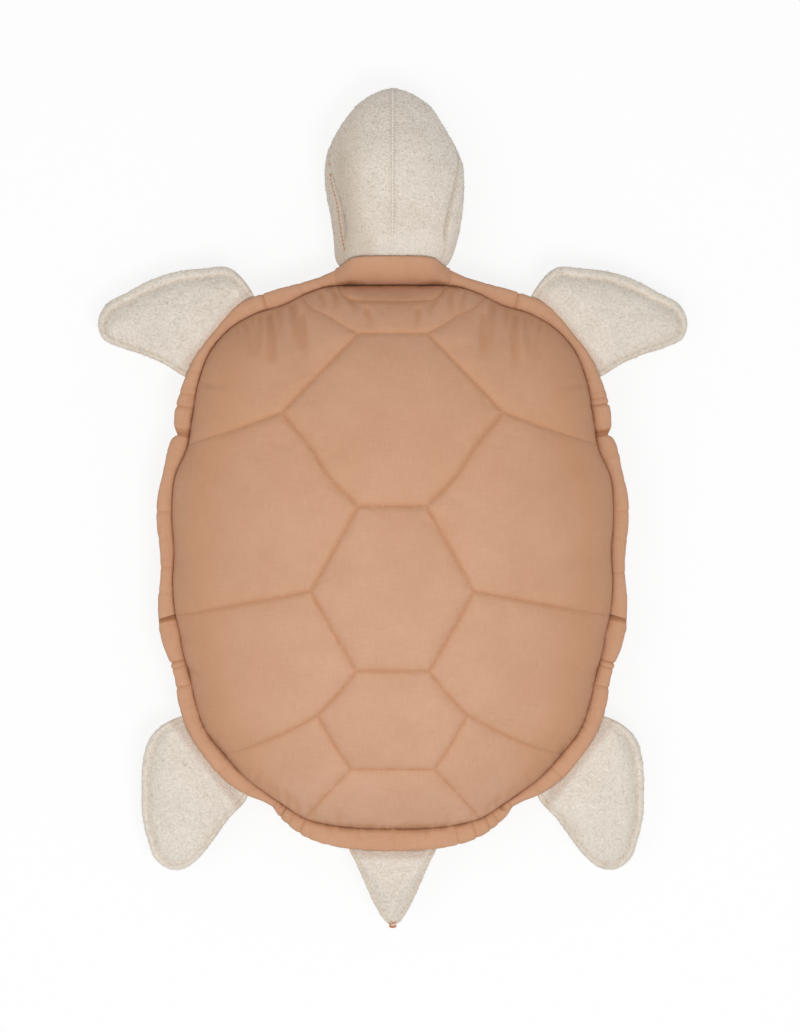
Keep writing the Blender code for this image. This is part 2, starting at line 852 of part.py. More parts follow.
head_depth = head_cloth + gap
ring_rows = []
for station in head_stations:
    left, chin, right = head_angles(station[4])
    around = left + chin[1:] + right[1:-1]
    ring_rows.append([head_point(station, a, head_depth) for a in around])
head_core = bmesh.new()
neck_end = (0.0, neck_axis_y - neck_radius + pole_relief, seam_height)
stretch(head_core, ring_rows, True, neck_end, nose_point(head_depth + pole_relief))
add_piece("head_filling", head_core, filling_white, nod_axis)
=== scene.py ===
# Plush sea turtle lying on its belly, nose towards +Y: quilted tan shell, sewn rim, cream limbs
import math

import bmesh
import bpy
import numpy as np
from mathutils import Matrix, Vector, noise
from mathutils.bvhtree import BVHTree
from mathutils.geometry import delaunay_2d_cdt


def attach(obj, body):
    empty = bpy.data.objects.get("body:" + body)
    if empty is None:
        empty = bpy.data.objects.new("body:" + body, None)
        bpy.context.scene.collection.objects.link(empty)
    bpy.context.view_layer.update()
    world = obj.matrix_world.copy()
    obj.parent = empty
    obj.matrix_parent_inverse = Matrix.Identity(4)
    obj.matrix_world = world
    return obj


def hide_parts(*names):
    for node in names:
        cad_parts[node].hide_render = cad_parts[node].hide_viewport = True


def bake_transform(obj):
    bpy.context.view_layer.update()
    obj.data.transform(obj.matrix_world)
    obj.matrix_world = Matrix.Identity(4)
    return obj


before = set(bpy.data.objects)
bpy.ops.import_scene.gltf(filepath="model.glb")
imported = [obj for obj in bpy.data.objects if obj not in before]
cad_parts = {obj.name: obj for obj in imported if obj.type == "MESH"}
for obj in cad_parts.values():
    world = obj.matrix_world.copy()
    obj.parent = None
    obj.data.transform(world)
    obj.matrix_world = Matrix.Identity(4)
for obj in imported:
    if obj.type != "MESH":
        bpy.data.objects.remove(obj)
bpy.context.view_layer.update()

mm = 0.001
seam_z = 42.0 * mm
neck_y = 189.12 * mm
middle_y = -33.0
middle = np.array((0.0, middle_y)) * mm
half_wide, half_long = 168.5, 211
hands = (("left", 1), ("right", -1))

# Outlines of the left half in millimetres, front to rear, as distance from the middle and y
crease_rows = (
    (0, 159.3), (16, 159.2), (33.3, 159), (47.6, 157.7), (60.4, 153.4), (77.6, 145.1), (98.3, 138.4),
    (116.2, 127.6), (129.8, 111.9), (137.7, 91.9), (143, 63.3), (146.2, 44), (155, 22.5),
    (157.2, -3), (155.8, -32.5), (156.6, -53.3), (154.8, -74.7), (152, -87.6), (149.1, -103.3),
    (144.8, -118.3), (141.2, -134.8), (134.1, -156.2), (119.4, -175.6), (104, -192.2), (89.7, -203),
    (76.9, -211.8), (63.3, -220.3), (46.1, -225), (24.7, -227.5), (0, -228.1),
)
front_edge_rows = (
    (40.2, 170.5), (50.5, 165.8), (64.4, 161.3), (80, 157.3), (94.4, 152.7), (104.5, 148.8),
    (112.6, 143.6), (119.8, 136.2), (126.9, 127.4), (134.1, 118.3), (140.2, 109.8), (144.8, 101.2),
    (148.4, 92.6), (151.6, 84), (154.1, 75.4), (155.6, 66.9), (155.6, 58.3), (153.6, 53.2), (152.6, 48.5),
)
middle_edge_rows = (
    (151.6, 53.2), (156.2, 51), (160.3, 43.1), (162.5, 32.5), (164.3, 24), (166.5, 15.4), (168, 6.8),
    (168.5, -1.8), (168.2, -10.4), (167.3, -19), (166.3, -27.5), (165.6, -36.1), (165.5, -44.7),
    (166.1, -53.3), (167.1, -61.9), (167.3, -70.4), (167, -78.7),
)
rear_edge_rows = (
    (167.2, -75.6), (166.9, -79.6), (166.3, -87.6), (164.1, -96.2), (160.8, -104.8), (157.6, -113.3),
    (155.2, -121.9), (154.1, -130.5), (152.7, -139.1), (150.4, -147.7), (147.3, -156.2), (142.8, -164.8),
    (137.1, -173.4), (130.7, -182), (123, -190.6), (113.4, -198.6), (101.5, -205.4), (91, -209.4),
    (84.6, -213.4), (79.5, -218.5), (75.5, -222.4),
)
tail_edge_rows = (
    (85.5, -212.6), (81.5, -218.6), (74.6, -225.4), (63.3, -233.5), (50.1, -238.6), (33.6, -242.1),
    (14.3, -243.8), (0, -244.2),
)

# Seams of the shell, left half: corners where panels meet, and runs through corners and other points
corners = {
    "front": (24.3, 123.4), "shoulder": (77.6, 67.6), "waist": (24.0, 1.8), "flank": (56.9, -57.6),
    "loin": (25.4, -113.3), "hip": (52.6, -144.8), "rump": (29.3, -183.4),
}
seam_runs = (
    ((66.2, 151.4), (58, 142.5), (46, 136), (33, 127.8), "front"),
    ("front", (50, 96.5), "shoulder"),
    ("shoulder", (56, 41), (46, 25), "waist"),
    ("waist", (40.5, -28), "flank"),
    ("flank", (43, -83), "loin"),
    ("loin", (38, -129.5), "hip"),
    ("hip", (42.5, -163), "rump"),
    ("shoulder", (108, 56.5), (132, 49.3), (147, 44.5)),
    ("flank", (92, -64.5), (125, -70.6), (155.6, -76.4)),
    ("hip", (81, -160), (101, -168.6), (120.6, -174.8)),
    ("rump", (45, -200), (62.5, -220.4)),
)
cross_names = ("front", "waist", "loin", "rump")
tuck_rows = (
    (-38.5, 156), (-35, 151), (-29, 147.6), (-20, 147), (0, 146.9), (20, 147),
    (28.5, 147.8), (33.4, 151), (36.2, 155),
)

# Gathers of the left half: both ends in millimetres, then depth and width
gathers = (
    (104.2, 133, 101.2, 107, 1.5, 2.6), (98.8, 136, 97.6, 112, 1.1, 2.2),
    (93.6, 137, 96.6, 106, 1.7, 2.4), (87, 139.5, 85.2, 100, 1.9, 2.8),
    (80.5, 142.5, 80, 118, 1, 2.6), (71.5, 147.5, 65.2, 111, 1.9, 3.2),
    (64.4, 139, 62, 105.5, 1.3, 2.6), (51, 152.6, 46.6, 141, 1.3, 2.2),
    (40.5, 154.5, 40.6, 139, 1.4, 2.6), (110.4, 128, 107, 116, 0.9, 2.2),
    (18.5, 142, 15.5, 126, 0.9, 2.6), (30.6, 148, 22.5, 139, 1, 2.4),
    (136.6, 88.4, 112, 87, 0.8, 2.4), (66, -214.5, 74, -199, 0.9, 2.4),
    (55, -219, 60, -207, 0.7, 2.2), (82, -206, 86, -190, 0.9, 2.4),
    (98, -194, 94, -180, 0.7, 2.2), (38, -224, 40, -211, 0.7, 2.2),
    (146.5, -113, 134, -120, 1.7, 1.7), (151, -92, 138, -96, 0.8, 2.4),
    (88, -204, 90, -190, 1, 2.4), (63.5, -219.5, 70.5, -214, 1.9, 1.6),
    (74, -211, 77, -197, 1.1, 2.2),
)

# Stretches of the crease with deeper painted shade: strength, place and reach across, place and reach along
crease_marks = (
    (0.62, 37, 15, 158, 7), (0.18, 135, 14, 98, 26), (0.56, 124, 22, -166, 30), (0.22, 145, 8, 60, 14),
    (0.60, 146, 8, -116, 5),
)


def mirror(rows):
    return [(-row[0],) + tuple(row[1:]) for row in rows]


def closed(line):
    return np.vstack([line, line[:1]])


def lengths(points):
    """How far along a row of points each one lies."""
    return np.concatenate([[0], np.cumsum(np.linalg.norm(np.diff(points, axis=0), axis=1))])


def bell(x, place, reach):
    """A smooth bump, 1 at its place."""
    return np.exp(-((x - place) / reach) ** 2)


def fall(far, reach):
    """1 at no distance, and less by e at each further reach."""
    return np.exp(-np.abs(far) / reach)


def step_up(x, start, end):
    t = np.clip((x - start) / (end - start), 0, 1)
    return t * t * (3 - 2 * t)


def wobble(points, scale, seed, size=1.0):
    """Smooth random numbers over points, the same each run."""
    shift = Vector((seed * 7.31, seed * 3.17, seed * 5.53))
    made = [noise.noise(Vector(tuple(p) + (0.0,) * (3 - len(p))) / scale + shift) for p in points]
    return np.array(made) * size


def smooth_curve(points, step, loop=False):
    """A smooth curve through points, as evenly spaced points."""
    p = np.array(points, float)
    if loop:
        p = np.vstack([p[-2:], p, p[:3]])
    h = np.linalg.norm(np.diff(p, axis=0), axis=1)
    d = np.diff(p, axis=0) / h[:, None]
    slope = np.empty_like(p)
    slope[1:-1] = (d[:-1] * h[1:, None] + d[1:] * h[:-1, None]) / (h[:-1] + h[1:])[:, None]
    slope[0] = d[0]
    slope[-1] = d[-1]
    t = np.linspace(0, 1, 24, endpoint=False)[:, None]
    from_here = (1 + 2 * t) * (1 - t) ** 2
    to_next = t * t * (3 - 2 * t)
    parts = []
    for i in range(2, len(p) - 3) if loop else range(len(p) - 1):
        leave = t * (1 - t) ** 2 * h[i]
        arrive = t * t * (t - 1) * h[i]
        parts.append(from_here * p[i] + leave * slope[i] + to_next * p[i + 1] + arrive * slope[i + 1])
    fine = np.vstack(parts + [p[2:3] if loop else p[-1:]])
    run = lengths(fine)
    at = np.linspace(0, run[-1], max(2, int(round(run[-1] / step))) + 1)
    made = np.stack([np.interp(at, run, fine[:, k]) for k in range(p.shape[1])], axis=1)
    return made[:-1] if loop else made


def line_distance(points, line):
    """For each plan point: distance to a line, and how far along the line the nearest place is."""
    a = line[:-1]
    d = line[1:] - a
    size = np.maximum((d ** 2).sum(1), 1e-18)
    start = np.concatenate([[0], np.cumsum(np.sqrt(size))])[:-1]
    far = np.empty(len(points))
    along = np.empty(len(points))
    batch = 4000
    for i in range(0, len(points), batch):
        q = points[i:i + batch, None, :] - a[None]
        t = np.clip((q * d).sum(2) / size, 0, 1)
        gap = np.sqrt(((q - t[..., None] * d) ** 2).sum(2))
        best = gap.argmin(1)
        rows = np.arange(len(best))
        far[i:i + batch] = gap[rows, best]
        along[i:i + batch] = start[best] + t[rows, best] * np.sqrt(size[best])
    return far, along


def nearest(points, lines):
    """Distance from each plan point to the nearest of several lines."""
    return np.min([line_distance(points, line)[0] for line in lines], axis=0)


def inside(points, border):
    """Which plan points lie inside a closed border."""
    hit = np.zeros(len(points), bool)
    x, y = points[:, 0], points[:, 1]
    for (ax, ay), (bx, by) in zip(border, np.roll(border, -1, axis=0)):
        cross = (ay > y) != (by > y)
        if cross.any():
            hit ^= cross & (x < ax + (y - ay) / (by - ay + 1e-15) * (bx - ax))
    return hit


def sideways(runs):
    """Unit directions across a row of directions."""
    return np.column_stack([-runs[:, 1], runs[:, 0]]) / np.linalg.norm(runs, axis=1)[:, None]


def triangulate(border, lines, spacing, edge_clear, beside=0.0):
    """Triangles over a plan area that follow its border and lines, with a regular net between.

    A distance beside the lines adds a closer row of points along each of them."""
    points = [tuple(p) for p in border]
    edges = [(i, (i + 1) % len(border)) for i in range(len(border))]
    for line in lines:
        first = len(points)
        points += [tuple(p) for p in line]
        edges += [(first + i, first + i + 1) for i in range(len(line) - 1)]
    low = border.min(0)
    high = border.max(0)
    net = []
    for j, y in enumerate(np.arange(low[1], high[1], spacing * 0.866)):
        xs = np.arange(low[0] + (j % 2) * spacing / 2, high[0], spacing)
        net.append(np.stack([xs, np.full(len(xs), y)], axis=1))
    net = np.vstack(net)
    net = net[inside(net, border)]
    fixed = [closed(border)] + list(lines)
    net = net[nearest(net, fixed) > max(edge_clear, 1.9 * beside)]
    if beside:
        close = []
        for line in fixed:
            across = sideways(np.gradient(line, axis=0))
            close += [line + across * beside, line - across * beside]
        close = np.vstack(close)
        close = close[inside(close, border)]
        net = np.vstack([net, close[nearest(close, fixed) > 0.85 * beside]])
    points += [tuple(p) for p in net]
    out = delaunay_2d_cdt([Vector(p) for p in points], edges, [], 1, 1e-6)
    used = sorted({i for face in out[2] for i in face})
    number = {i: k for k, i in enumerate(used)}
    return np.array([tuple(out[0][i]) for i in used]), [tuple(number[i] for i in face) for face in out[2]]


def new_piece(name, bm, material, body=None):
    """Makes a smooth piece of a finished mesh."""
    for face in bm.faces:
        face.smooth = True
    mesh = bpy.data.meshes.new(name)
    bm.to_mesh(mesh)
    bm.free()
    mesh.materials.append(material)
    piece = bpy.data.objects.new(name, mesh)
    bpy.context.scene.collection.objects.link(piece)
    if body:
        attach(piece, body)
    return piece


class Cloth:
    """A mesh under construction, with its cloth's own flat place and one darkness per point, mostly painted
    shade.

    It starts empty, or as triangles in plan; each of its points remembers its number."""

    def __init__(self, points=(), triangles=()):
        net = bpy.data.meshes.new("net")
        net.from_pydata([(float(x), float(y), 0.0) for x, y in points], [], triangles)
        self.bm = bmesh.new()
        self.bm.from_mesh(net)
        bpy.data.meshes.remove(net)
        self.uv = self.bm.loops.layers.uv.new("cloth")
        self.shade = self.bm.verts.layers.float.new("shade")
        self.home = self.bm.verts.layers.int.new("home")
        for i, vert in enumerate(self.bm.verts):
            vert[self.home] = i

    def lay(self, rows, shades):
        """Lays a grid of faces through rows of points; its flat place is measured along and across them."""
        tall, wide = rows.shape[:2]
        along = lengths(rows[:, 0])
        across = lengths(rows[tall // 2])
        made = bmesh.ops.create_grid(self.bm, x_segments=wide - 1, y_segments=tall - 1, size=1.0)["verts"]
        for i, vert in enumerate(made):
            j, k = divmod(i, wide)
            vert.co = rows[j, k]
            vert[self.shade] = shades[j, k]
            vert[self.home] = i
        for face in {f for v in made for f in v.link_faces}:
            for corner in face.loops:
                j, k = divmod(corner.vert[self.home], wide)
                corner[self.uv].uv = (across[k], along[j])

    def close(self):
        bmesh.ops.remove_doubles(self.bm, verts=self.bm.verts[:], dist=2e-6)
        bmesh.ops.holes_fill(self.bm, edges=self.bm.edges[:], sides=0)

    def finish(self, name, material, body=None):
        """Makes the piece; its darkness, mostly painted shade, is kept as a cube root, which the materials
        undo.
        """
        bmesh.ops.recalc_face_normals(self.bm, faces=self.bm.faces[:])
        for vert in self.bm.verts:
            vert[self.shade] = max(0.0, min(0.9, vert[self.shade]) - 0.03) ** (1 / 3)
        return new_piece(name, self.bm, material, body)


def loft(name, rows, shades, material, body):
    """A piece through closed rows of points, its ends filled."""
    rows, shades = np.array(rows), np.array(shades)
    cloth = Cloth()
    cloth.lay(np.hstack([rows, rows[:, :1]]), np.hstack([shades, shades[:, :1]]))
    cloth.close()
    for face in cloth.bm.faces:
        if len(face.verts) > 8:
            for edge in face.edges:
                edge.smooth = False
    return cloth.finish(name, material, body)


def dress(piece, slot, fill, *nodes):
    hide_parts(*nodes)


# How a cover swells in Blender's Cloth
stuffing = {
    "quality": 4, "mass": 0.15, "tension_stiffness": 20.0, "compression_stiffness": 20.0,
    "shear_stiffness": 8.0, "bending_stiffness": 0.3, "use_pressure": True, "uniform_pressure_force": 4.0,
    "vertex_group_mass": "held", "vertex_group_shrink": "give", "shrink_min": -0.004, "shrink_max": -0.05,
}
stuffing_steps = 20


def stuff(piece, held, give, reach):
    """Lets a cover swell and crease over its filling, held at its seams; no point moves past its reach."""
    mesh = piece.data
    start = np.empty(len(mesh.vertices) * 3)
    mesh.vertices.foreach_get("co", start)
    for label, weights in (("held", held), ("give", give)):
        group = piece.vertex_groups.new(name=label)
        levels = np.round(weights, 1)
        for level in np.unique(levels[levels > 0]):
            group.add([int(i) for i in np.flatnonzero(levels == level)], float(level), "REPLACE")
    swell = piece.modifiers.new("stuffing", "CLOTH")
    for key, value in stuffing.items():
        setattr(swell.settings, key, value)
    swell.settings.effector_weights.gravity = 0.0
    swell.collision_settings.use_collision = False
    swell.point_cache.frame_start = 1
    swell.point_cache.frame_end = stuffing_steps
    for step in range(1, stuffing_steps + 1):
        bpy.context.scene.frame_set(step)
    made = np.empty_like(start)
    piece.evaluated_get(bpy.context.evaluated_depsgraph_get()).data.vertices.foreach_get("co", made)
    piece.modifiers.remove(swell)
    move = (made - start).reshape(-1, 3)
    far = np.linalg.norm(move, axis=1)
    move *= np.minimum(1.0, reach / np.maximum(far, 1e-9))[:, None]
    mesh.vertices.foreach_set("co", start + move.ravel())
    mesh.update()
    piece.vertex_groups.clear()
    bpy.context.scene.frame_set(1)


def surface_of(piece):
    """A search tree of a piece's faces."""
    mesh = piece.data
    return BVHTree.FromPolygons([v.co for v in mesh.vertices], [p.vertices for p in mesh.polygons])


def point_numbers(piece):
    """The number that each point of a piece had in its net."""
    numbers = np.empty(len(piece.data.vertices), int)
    piece.data.attributes["home"].data.foreach_get("value", numbers)
    return numbers


def laid_on(faces, points, height):
    """Plan points dropped onto a surface from above, and raised by a height."""
    drop = [faces.ray_cast(Vector((point[0], point[1], 0.3)), Vector((0, 0, -1)))[0] for point in points]
    return [(hit.x, hit.y, hit.z + height) for hit in drop if hit]


def stitches(name, path, pitch, length, thick, material, body=None):
    """A row of sewn stitches along points on a surface, each a short rounded thread; sizes in millimetres."""
    path = np.asarray(path)
    run = lengths(path)
    half = length * mm / 2
    bm = bmesh.new()
    at = pitch * mm / 2
    while at < run[-1]:
        a, m, b = (Vector([np.interp(at + s, run, path[:, k]) for k in range(3)]) for s in (-half, 0, half))
        turn = (b - a).normalized().to_track_quat("Z", "Y")
        size = Vector((thick * mm, thick * mm, (b - a).length / 2))
        for vert in bmesh.ops.create_uvsphere(bm, u_segments=6, v_segments=4, radius=1.0)["verts"]:
            vert.co = m + turn @ (vert.co * size)
        at += pitch * mm
    return new_piece(name, bm, material, body)


# Loose curls of the cream cover
curls_per_mm2 = 0.16
curls_per_batch = 60


def curl_mesh():
    """One loose curl of unit size: a three-sided thread bent through half a turn."""
    bm = bmesh.new()
    bmesh.ops.create_circle(bm, segments=3, radius=0.11)
    bmesh.ops.translate(bm, vec=(0.62, 0, 0), verts=bm.verts[:])
    bmesh.ops.spin(bm, geom=bm.verts[:] + bm.edges[:], cent=(0, 0, 0), axis=(0, 1, 0), dvec=(0, 0, 0),
                   angle=3.4, steps=4, use_merge=False, use_duplicate=False)
    bmesh.ops.holes_fill(bm, edges=bm.edges[:], sides=0)
    bmesh.ops.recalc_face_normals(bm, faces=bm.faces[:])
    made = bpy.data.meshes.new("curl")
    bm.to_mesh(made)
    bm.free()
    return made


curl = curl_mesh()


def sorted_triangles(mesh):
    """A mesh's triangles in a fixed order, because Blender leaves extruded faces in another one each run."""
    found = []
    for face in mesh.polygons:
        row = list(face.vertices)
        first = row.index(min(row))
        row = row[first:] + row[:first]
        found += [(row[0], b, c) for b, c in zip(row[1:], row[2:])]
    return np.array(sorted(found))


def scattered(piece, seed, covered):
    """Random places on a piece where covered says so, with matrices that set a curl on each."""
    pick = np.random.default_rng(seed)
    mesh = piece.data
    where = np.empty(len(mesh.vertices) * 3)
    mesh.vertices.foreach_get("co", where)
    tris = sorted_triangles(mesh)
    a, b, c = where.reshape(-1, 3)[tris].transpose(1, 0, 2)
    normal = np.cross(b - a, c - a)
    area = np.linalg.norm(normal, axis=1) / 2
    count = int(area.sum() / mm ** 2 * curls_per_mm2)
    chosen = pick.choice(len(tris), count, p=area / area.sum())
    u, v = pick.random((2, count))
    flip = u + v > 1
    u[flip], v[flip] = 1 - u[flip], 1 - v[flip]
    spots = a[chosen] + (b - a)[chosen] * u[:, None] + (c - a)[chosen] * v[:, None]
    ups = normal[chosen] / (2 * area[chosen])[:, None]
    keep = covered(spots)
    spots, ups = spots[keep], ups[keep]
    x = np.cross(ups, pick.normal(size=spots.shape))
    x /= np.linalg.norm(x, axis=1)[:, None]
    y = np.cross(ups, x)
    sizes = ((0.55 + 0.55 * pick.random(len(spots))) * mm)[:, None]
    sunk = spots - ups * 0.10 * mm
    turns = np.stack([x * sizes, y * sizes, -ups * sizes, sunk], axis=2)
    return [Matrix(turn.tolist() + [[0, 0, 0, 1]]) for turn in turns]


def pile(name, piece, seed, covered):
    """Loose curls that stand out of a looped cover, joined in small batches, which is quicker."""
    whole = bmesh.new()
    batch = bpy.data.meshes.new("batch")
    places = scattered(piece, seed, covered)
    for first in range(0, len(places), curls_per_batch):
        few = bmesh.new()
        for place in places[first:first + curls_per_batch]:
            count = len(few.verts)
            few.from_mesh(curl)
            few.verts.ensure_lookup_table()
            bmesh.ops.transform(few, matrix=place, verts=few.verts[count:])
        few.to_mesh(batch)
        few.free()
        whole.from_mesh(batch)
    bpy.data.meshes.remove(batch)
    return new_piece(name, whole, cream)


# Materials
def node(tree, kind, inputs=None, **settings):
    """Adds a shader node; an input takes a plain value, or the socket that feeds it."""
    made = tree.nodes.new("ShaderNode" + kind)
    for key, value in settings.items():
        setattr(made, key, value)
    for key, value in (inputs or {}).items():
        if isinstance(value, bpy.types.NodeSocket):
            tree.links.new(value, made.inputs[key])
        else:
            made.inputs[key].default_value = value
    return made


def math_node(tree, operation, *values):
    return node(tree, "Math", dict(enumerate(values)), operation=operation).outputs[0]


def speckle(tree, place, scale, detail, roughness=0.5):
    return node(tree, "TexNoise", {"Vector": place, "Scale": scale, "Detail": detail, "Roughness": roughness})


def ramp(tree, tone, colours, stops=(0.0, 1.0)):
    """A colour between two, by a tone that runs between two stops."""
    made = node(tree, "ValToRGB", {0: tone})
    for element, stop, colour in zip(made.color_ramp.elements, stops, colours):
        element.position = stop
        element.color = tuple(colour) + (1.0,)
    return made.outputs[0]


def new_material(name, values):
    made = bpy.data.materials.new(name)
    made.use_nodes = True
    shader = made.node_tree.nodes["Principled BSDF"]
    for key, value in values.items():
        shader.inputs[key].default_value = value
    return made, made.node_tree, shader


def pattern_group(name):
    """A node group that makes a height and a tone of a place, as the group, the place and the outputs."""
    group = bpy.data.node_groups.new(name, "ShaderNodeTree")
    group.interface.new_socket("Place", in_out="INPUT", socket_type="NodeSocketVector")
    for label in ("Height", "Tone"):
        group.interface.new_socket(label, in_out="OUTPUT", socket_type="NodeSocketFloat")
    place = group.nodes.new("NodeGroupInput").outputs["Place"]
    return group, place, group.nodes.new("NodeGroupOutput").inputs


def weave_group():
    """Plain weave of uneven threads: the cloth's height, and a tone that varies by thread."""
    group, place, out = pattern_group("plain weave")
    split = node(group, "SeparateXYZ", {0: place})
    bend = math_node(group, "MULTIPLY", speckle(group, place, 160.0, 2.0).outputs[0], 0.5 * mm)
    u = math_node(group, "ADD", split.outputs[0], bend)
    v = math_node(group, "SUBTRACT", split.outputs[1], bend)
    per_thread = math.pi / (0.62 * mm)
    warp, weft = (math_node(group, "SINE", math_node(group, "MULTIPLY", way, per_thread)) for way in (u, v))
    over = math_node(group, "MULTIPLY", warp, weft)
    threads = math_node(group, "ADD", math_node(group, "ABSOLUTE", warp), math_node(group, "ABSOLUTE", weft))
    height = math_node(group, "MULTIPLY_ADD", over, 0.35, threads)
    slubs = []
    for stretch in ((1500.0, 90.0, 1.0), (90.0, 1500.0, 1.0)):
        scaled = node(group, "Mapping", {"Vector": place, "Scale": stretch}).outputs[0]
        slubs.append(speckle(group, scaled, 1.0, 2.0, 0.6).outputs[0])
    slub = math_node(group, "ADD", *slubs)
    group.links.new(math_node(group, "MULTIPLY_ADD", slub, 0.8, height), out["Height"])
    blotch = speckle(group, place, 26.0, 3.0, 0.55).outputs[0]
    tone = math_node(group, "MULTIPLY_ADD", blotch, 0.35, math_node(group, "MULTIPLY", slub, 0.32))
    group.links.new(math_node(group, "MULTIPLY_ADD", threads, 0.07, tone), out["Tone"])
    return group


def boucle_group():
    """Short looped pile: the curls' height, and a speckled tone."""
    group, place, out = pattern_group("looped pile")
    drift = speckle(group, place, 420.0, 3.0).outputs["Color"]
    shift = node(group, "VectorMath", {0: drift, "Scale": 1.6 * mm}, operation="SCALE").outputs[0]
    moved = node(group, "VectorMath", {0: place, 1: shift}, operation="ADD").outputs[0]
    curls = node(group, "TexVoronoi", {"Vector": moved, "Scale": 640.0}, feature="F1")
    loops = math_node(group, "SUBTRACT", 1.0, curls.outputs["Distance"])
    fibre = speckle(group, moved, 900.0, 4.0, 0.7).outputs[0]
    group.links.new(math_node(group, "MULTIPLY_ADD", fibre, 0.9, loops), out["Height"])
    speck = math_node(group, "MULTIPLY", speckle(group, place, 520.0, 4.0, 0.75).outputs[0], 0.85)
    cloud = speckle(group, place, 45.0, 3.0).outputs[0]
    tone = math_node(group, "MULTIPLY_ADD", cloud, 0.25, speck)
    group.links.new(math_node(group, "MULTIPLY_ADD", loops, 0.10, tone), out["Tone"])
    return group


def cloth_material(name, group, colours, stops, bump, sheen, by_uv, warm, painted_shade_colour):
    """A cloth whose colour follows its group's tone, and warms, then darkens, by each point's painted shade.
    """
    made, tree, shader = new_material(name, {
        "Roughness": 0.92, "Specular IOR Level": 0.18, "Sheen Weight": sheen, "Sheen Roughness": 0.55,
        "Sheen Tint": (1.0, 0.93, 0.86, 1.0),
    })
    if by_uv:
        place = node(tree, "UVMap", uv_map="cloth").outputs["UV"]
    else:
        place = node(tree, "TexCoord").outputs["Object"]
    pattern = node(tree, "Group", {"Place": place}, node_tree=group)
    colour = ramp(tree, pattern.outputs["Tone"], colours, stops)
    # Each point's painted shade, taken back from its cube root, first warms the colour, then darkens it
    painted_shade = math_node(tree, "POWER", node(tree, "Attribute", attribute_name="shade").outputs["Fac"], 3.0)
    warmed = math_node(tree, "MINIMUM", math_node(tree, "MULTIPLY", painted_shade, 8.0), 0.38)
    for share, toned in ((warmed, warm), (painted_shade, painted_shade_colour)):
        inputs = {"Factor": share, "A": colour, "B": toned + (1.0,)}
        colour = node(tree, "Mix", inputs, data_type="RGBA", blend_type="MIX").outputs["Result"]
    tree.links.new(colour, shader.inputs["Base Color"])
    dent = node(tree, "Bump", {"Strength": bump[0], "Distance": bump[1], "Height": pattern.outputs["Height"]})
    tree.links.new(dent.outputs[0], shader.inputs["Normal"])
    return made


def thread_material(name, colour):
    made, tree, shader = new_material(name, {"Roughness": 0.8, "Specular IOR Level": 0.2})
    twist = speckle(tree, node(tree, "TexCoord").outputs["Object"], 900.0, 2.0).outputs[0]
    shades = [[min(1, c * level) for c in colour] for level in (0.75, 1.15)]
    tree.links.new(ramp(tree, twist, shades), shader.inputs["Base Color"])
    dent = node(tree, "Bump", {"Strength": 0.5, "Distance": 0.1 * mm, "Height": twist})
    tree.links.new(dent.outputs[0], shader.inputs["Normal"])
    return made


weave = weave_group()
boucle = boucle_group()
tan_stops = (0.36, 0.84)
tan_bump = (0.35, 0.10 * mm)
# Painted shade colours: each cloth warms towards its warm colour, then darkens towards its shade colour
painted_shade_tan = (0.25, 0.086, 0.024)
tan = cloth_material("tan cotton", weave, ((0.536, 0.294, 0.181), (0.676, 0.408, 0.277)), tan_stops,
                     tan_bump, 0.06, True, (0.562, 0.258, 0.104), painted_shade_tan)
rim_tan = cloth_material("tan cotton rim", weave, ((0.520, 0.276, 0.160), (0.655, 0.380, 0.244)), tan_stops,
                         tan_bump, 0.06, True, (0.550, 0.266, 0.125), painted_shade_tan)
cream = cloth_material("cream boucle", boucle, ((0.630, 0.558, 0.470), (0.855, 0.788, 0.700)), (0.36, 0.76),
                       (0.8, 0.55 * mm), 0.42, False, (0.640, 0.520, 0.390), (0.34, 0.26, 0.18))
rust_thread = thread_material("rust thread", (0.56, 0.23, 0.11))
cream_thread = thread_material("cream thread", (0.81, 0.755, 0.675))
tan_thread = thread_material("tan thread", (0.33, 0.140, 0.055))
seam_thread = thread_material("seam thread", (0.53, 0.293, 0.184))

# Shell: plan curves
fine = 1.9 * mm
on_seam = 0.02 * mm
crease = smooth_curve(np.array(mirror(crease_rows) + list(crease_rows[-2:0:-1])) * mm, fine, loop=True)
tuck = smooth_curve(np.array(tuck_rows) * mm, fine)


def seam_line(places, side):
    """A seam on one side of the shell, through named corners and the places between them."""
    rows = [corners.get(place, place) for place in places]
    return smooth_curve([(-side * x * mm, y * mm) for x, y in rows], fine)


def cross_seam(label):
    """A seam across the shell's middle, from a corner to its mirror image."""
    x, y = corners[label]
    return smooth_curve([(-x * mm, y * mm), (x * mm, y * mm)], fine)


seams = [seam_line(run, side) for side in (1, -1) for run in seam_runs]
seams += [cross_seam(label) for label in cross_names]


def round_middle(points):
    """The direction and the distance of plan points from the shell's middle."""
    x, y = points[:, 0], points[:, 1] - middle[1]
    return np.arctan2(x, y), np.hypot(x, y)


ring_angle, ring_reach = round_middle(crease)
order = np.argsort(ring_angle)
ring_angle, ring_reach = ring_angle[order], ring_reach[order]


def reach_share(points):
    """The share of the way from the shell's middle to the crease at each plan point."""
    turn, reach = round_middle(points)
    return reach / np.interp(turn, ring_angle, ring_reach, period=2 * math.pi)


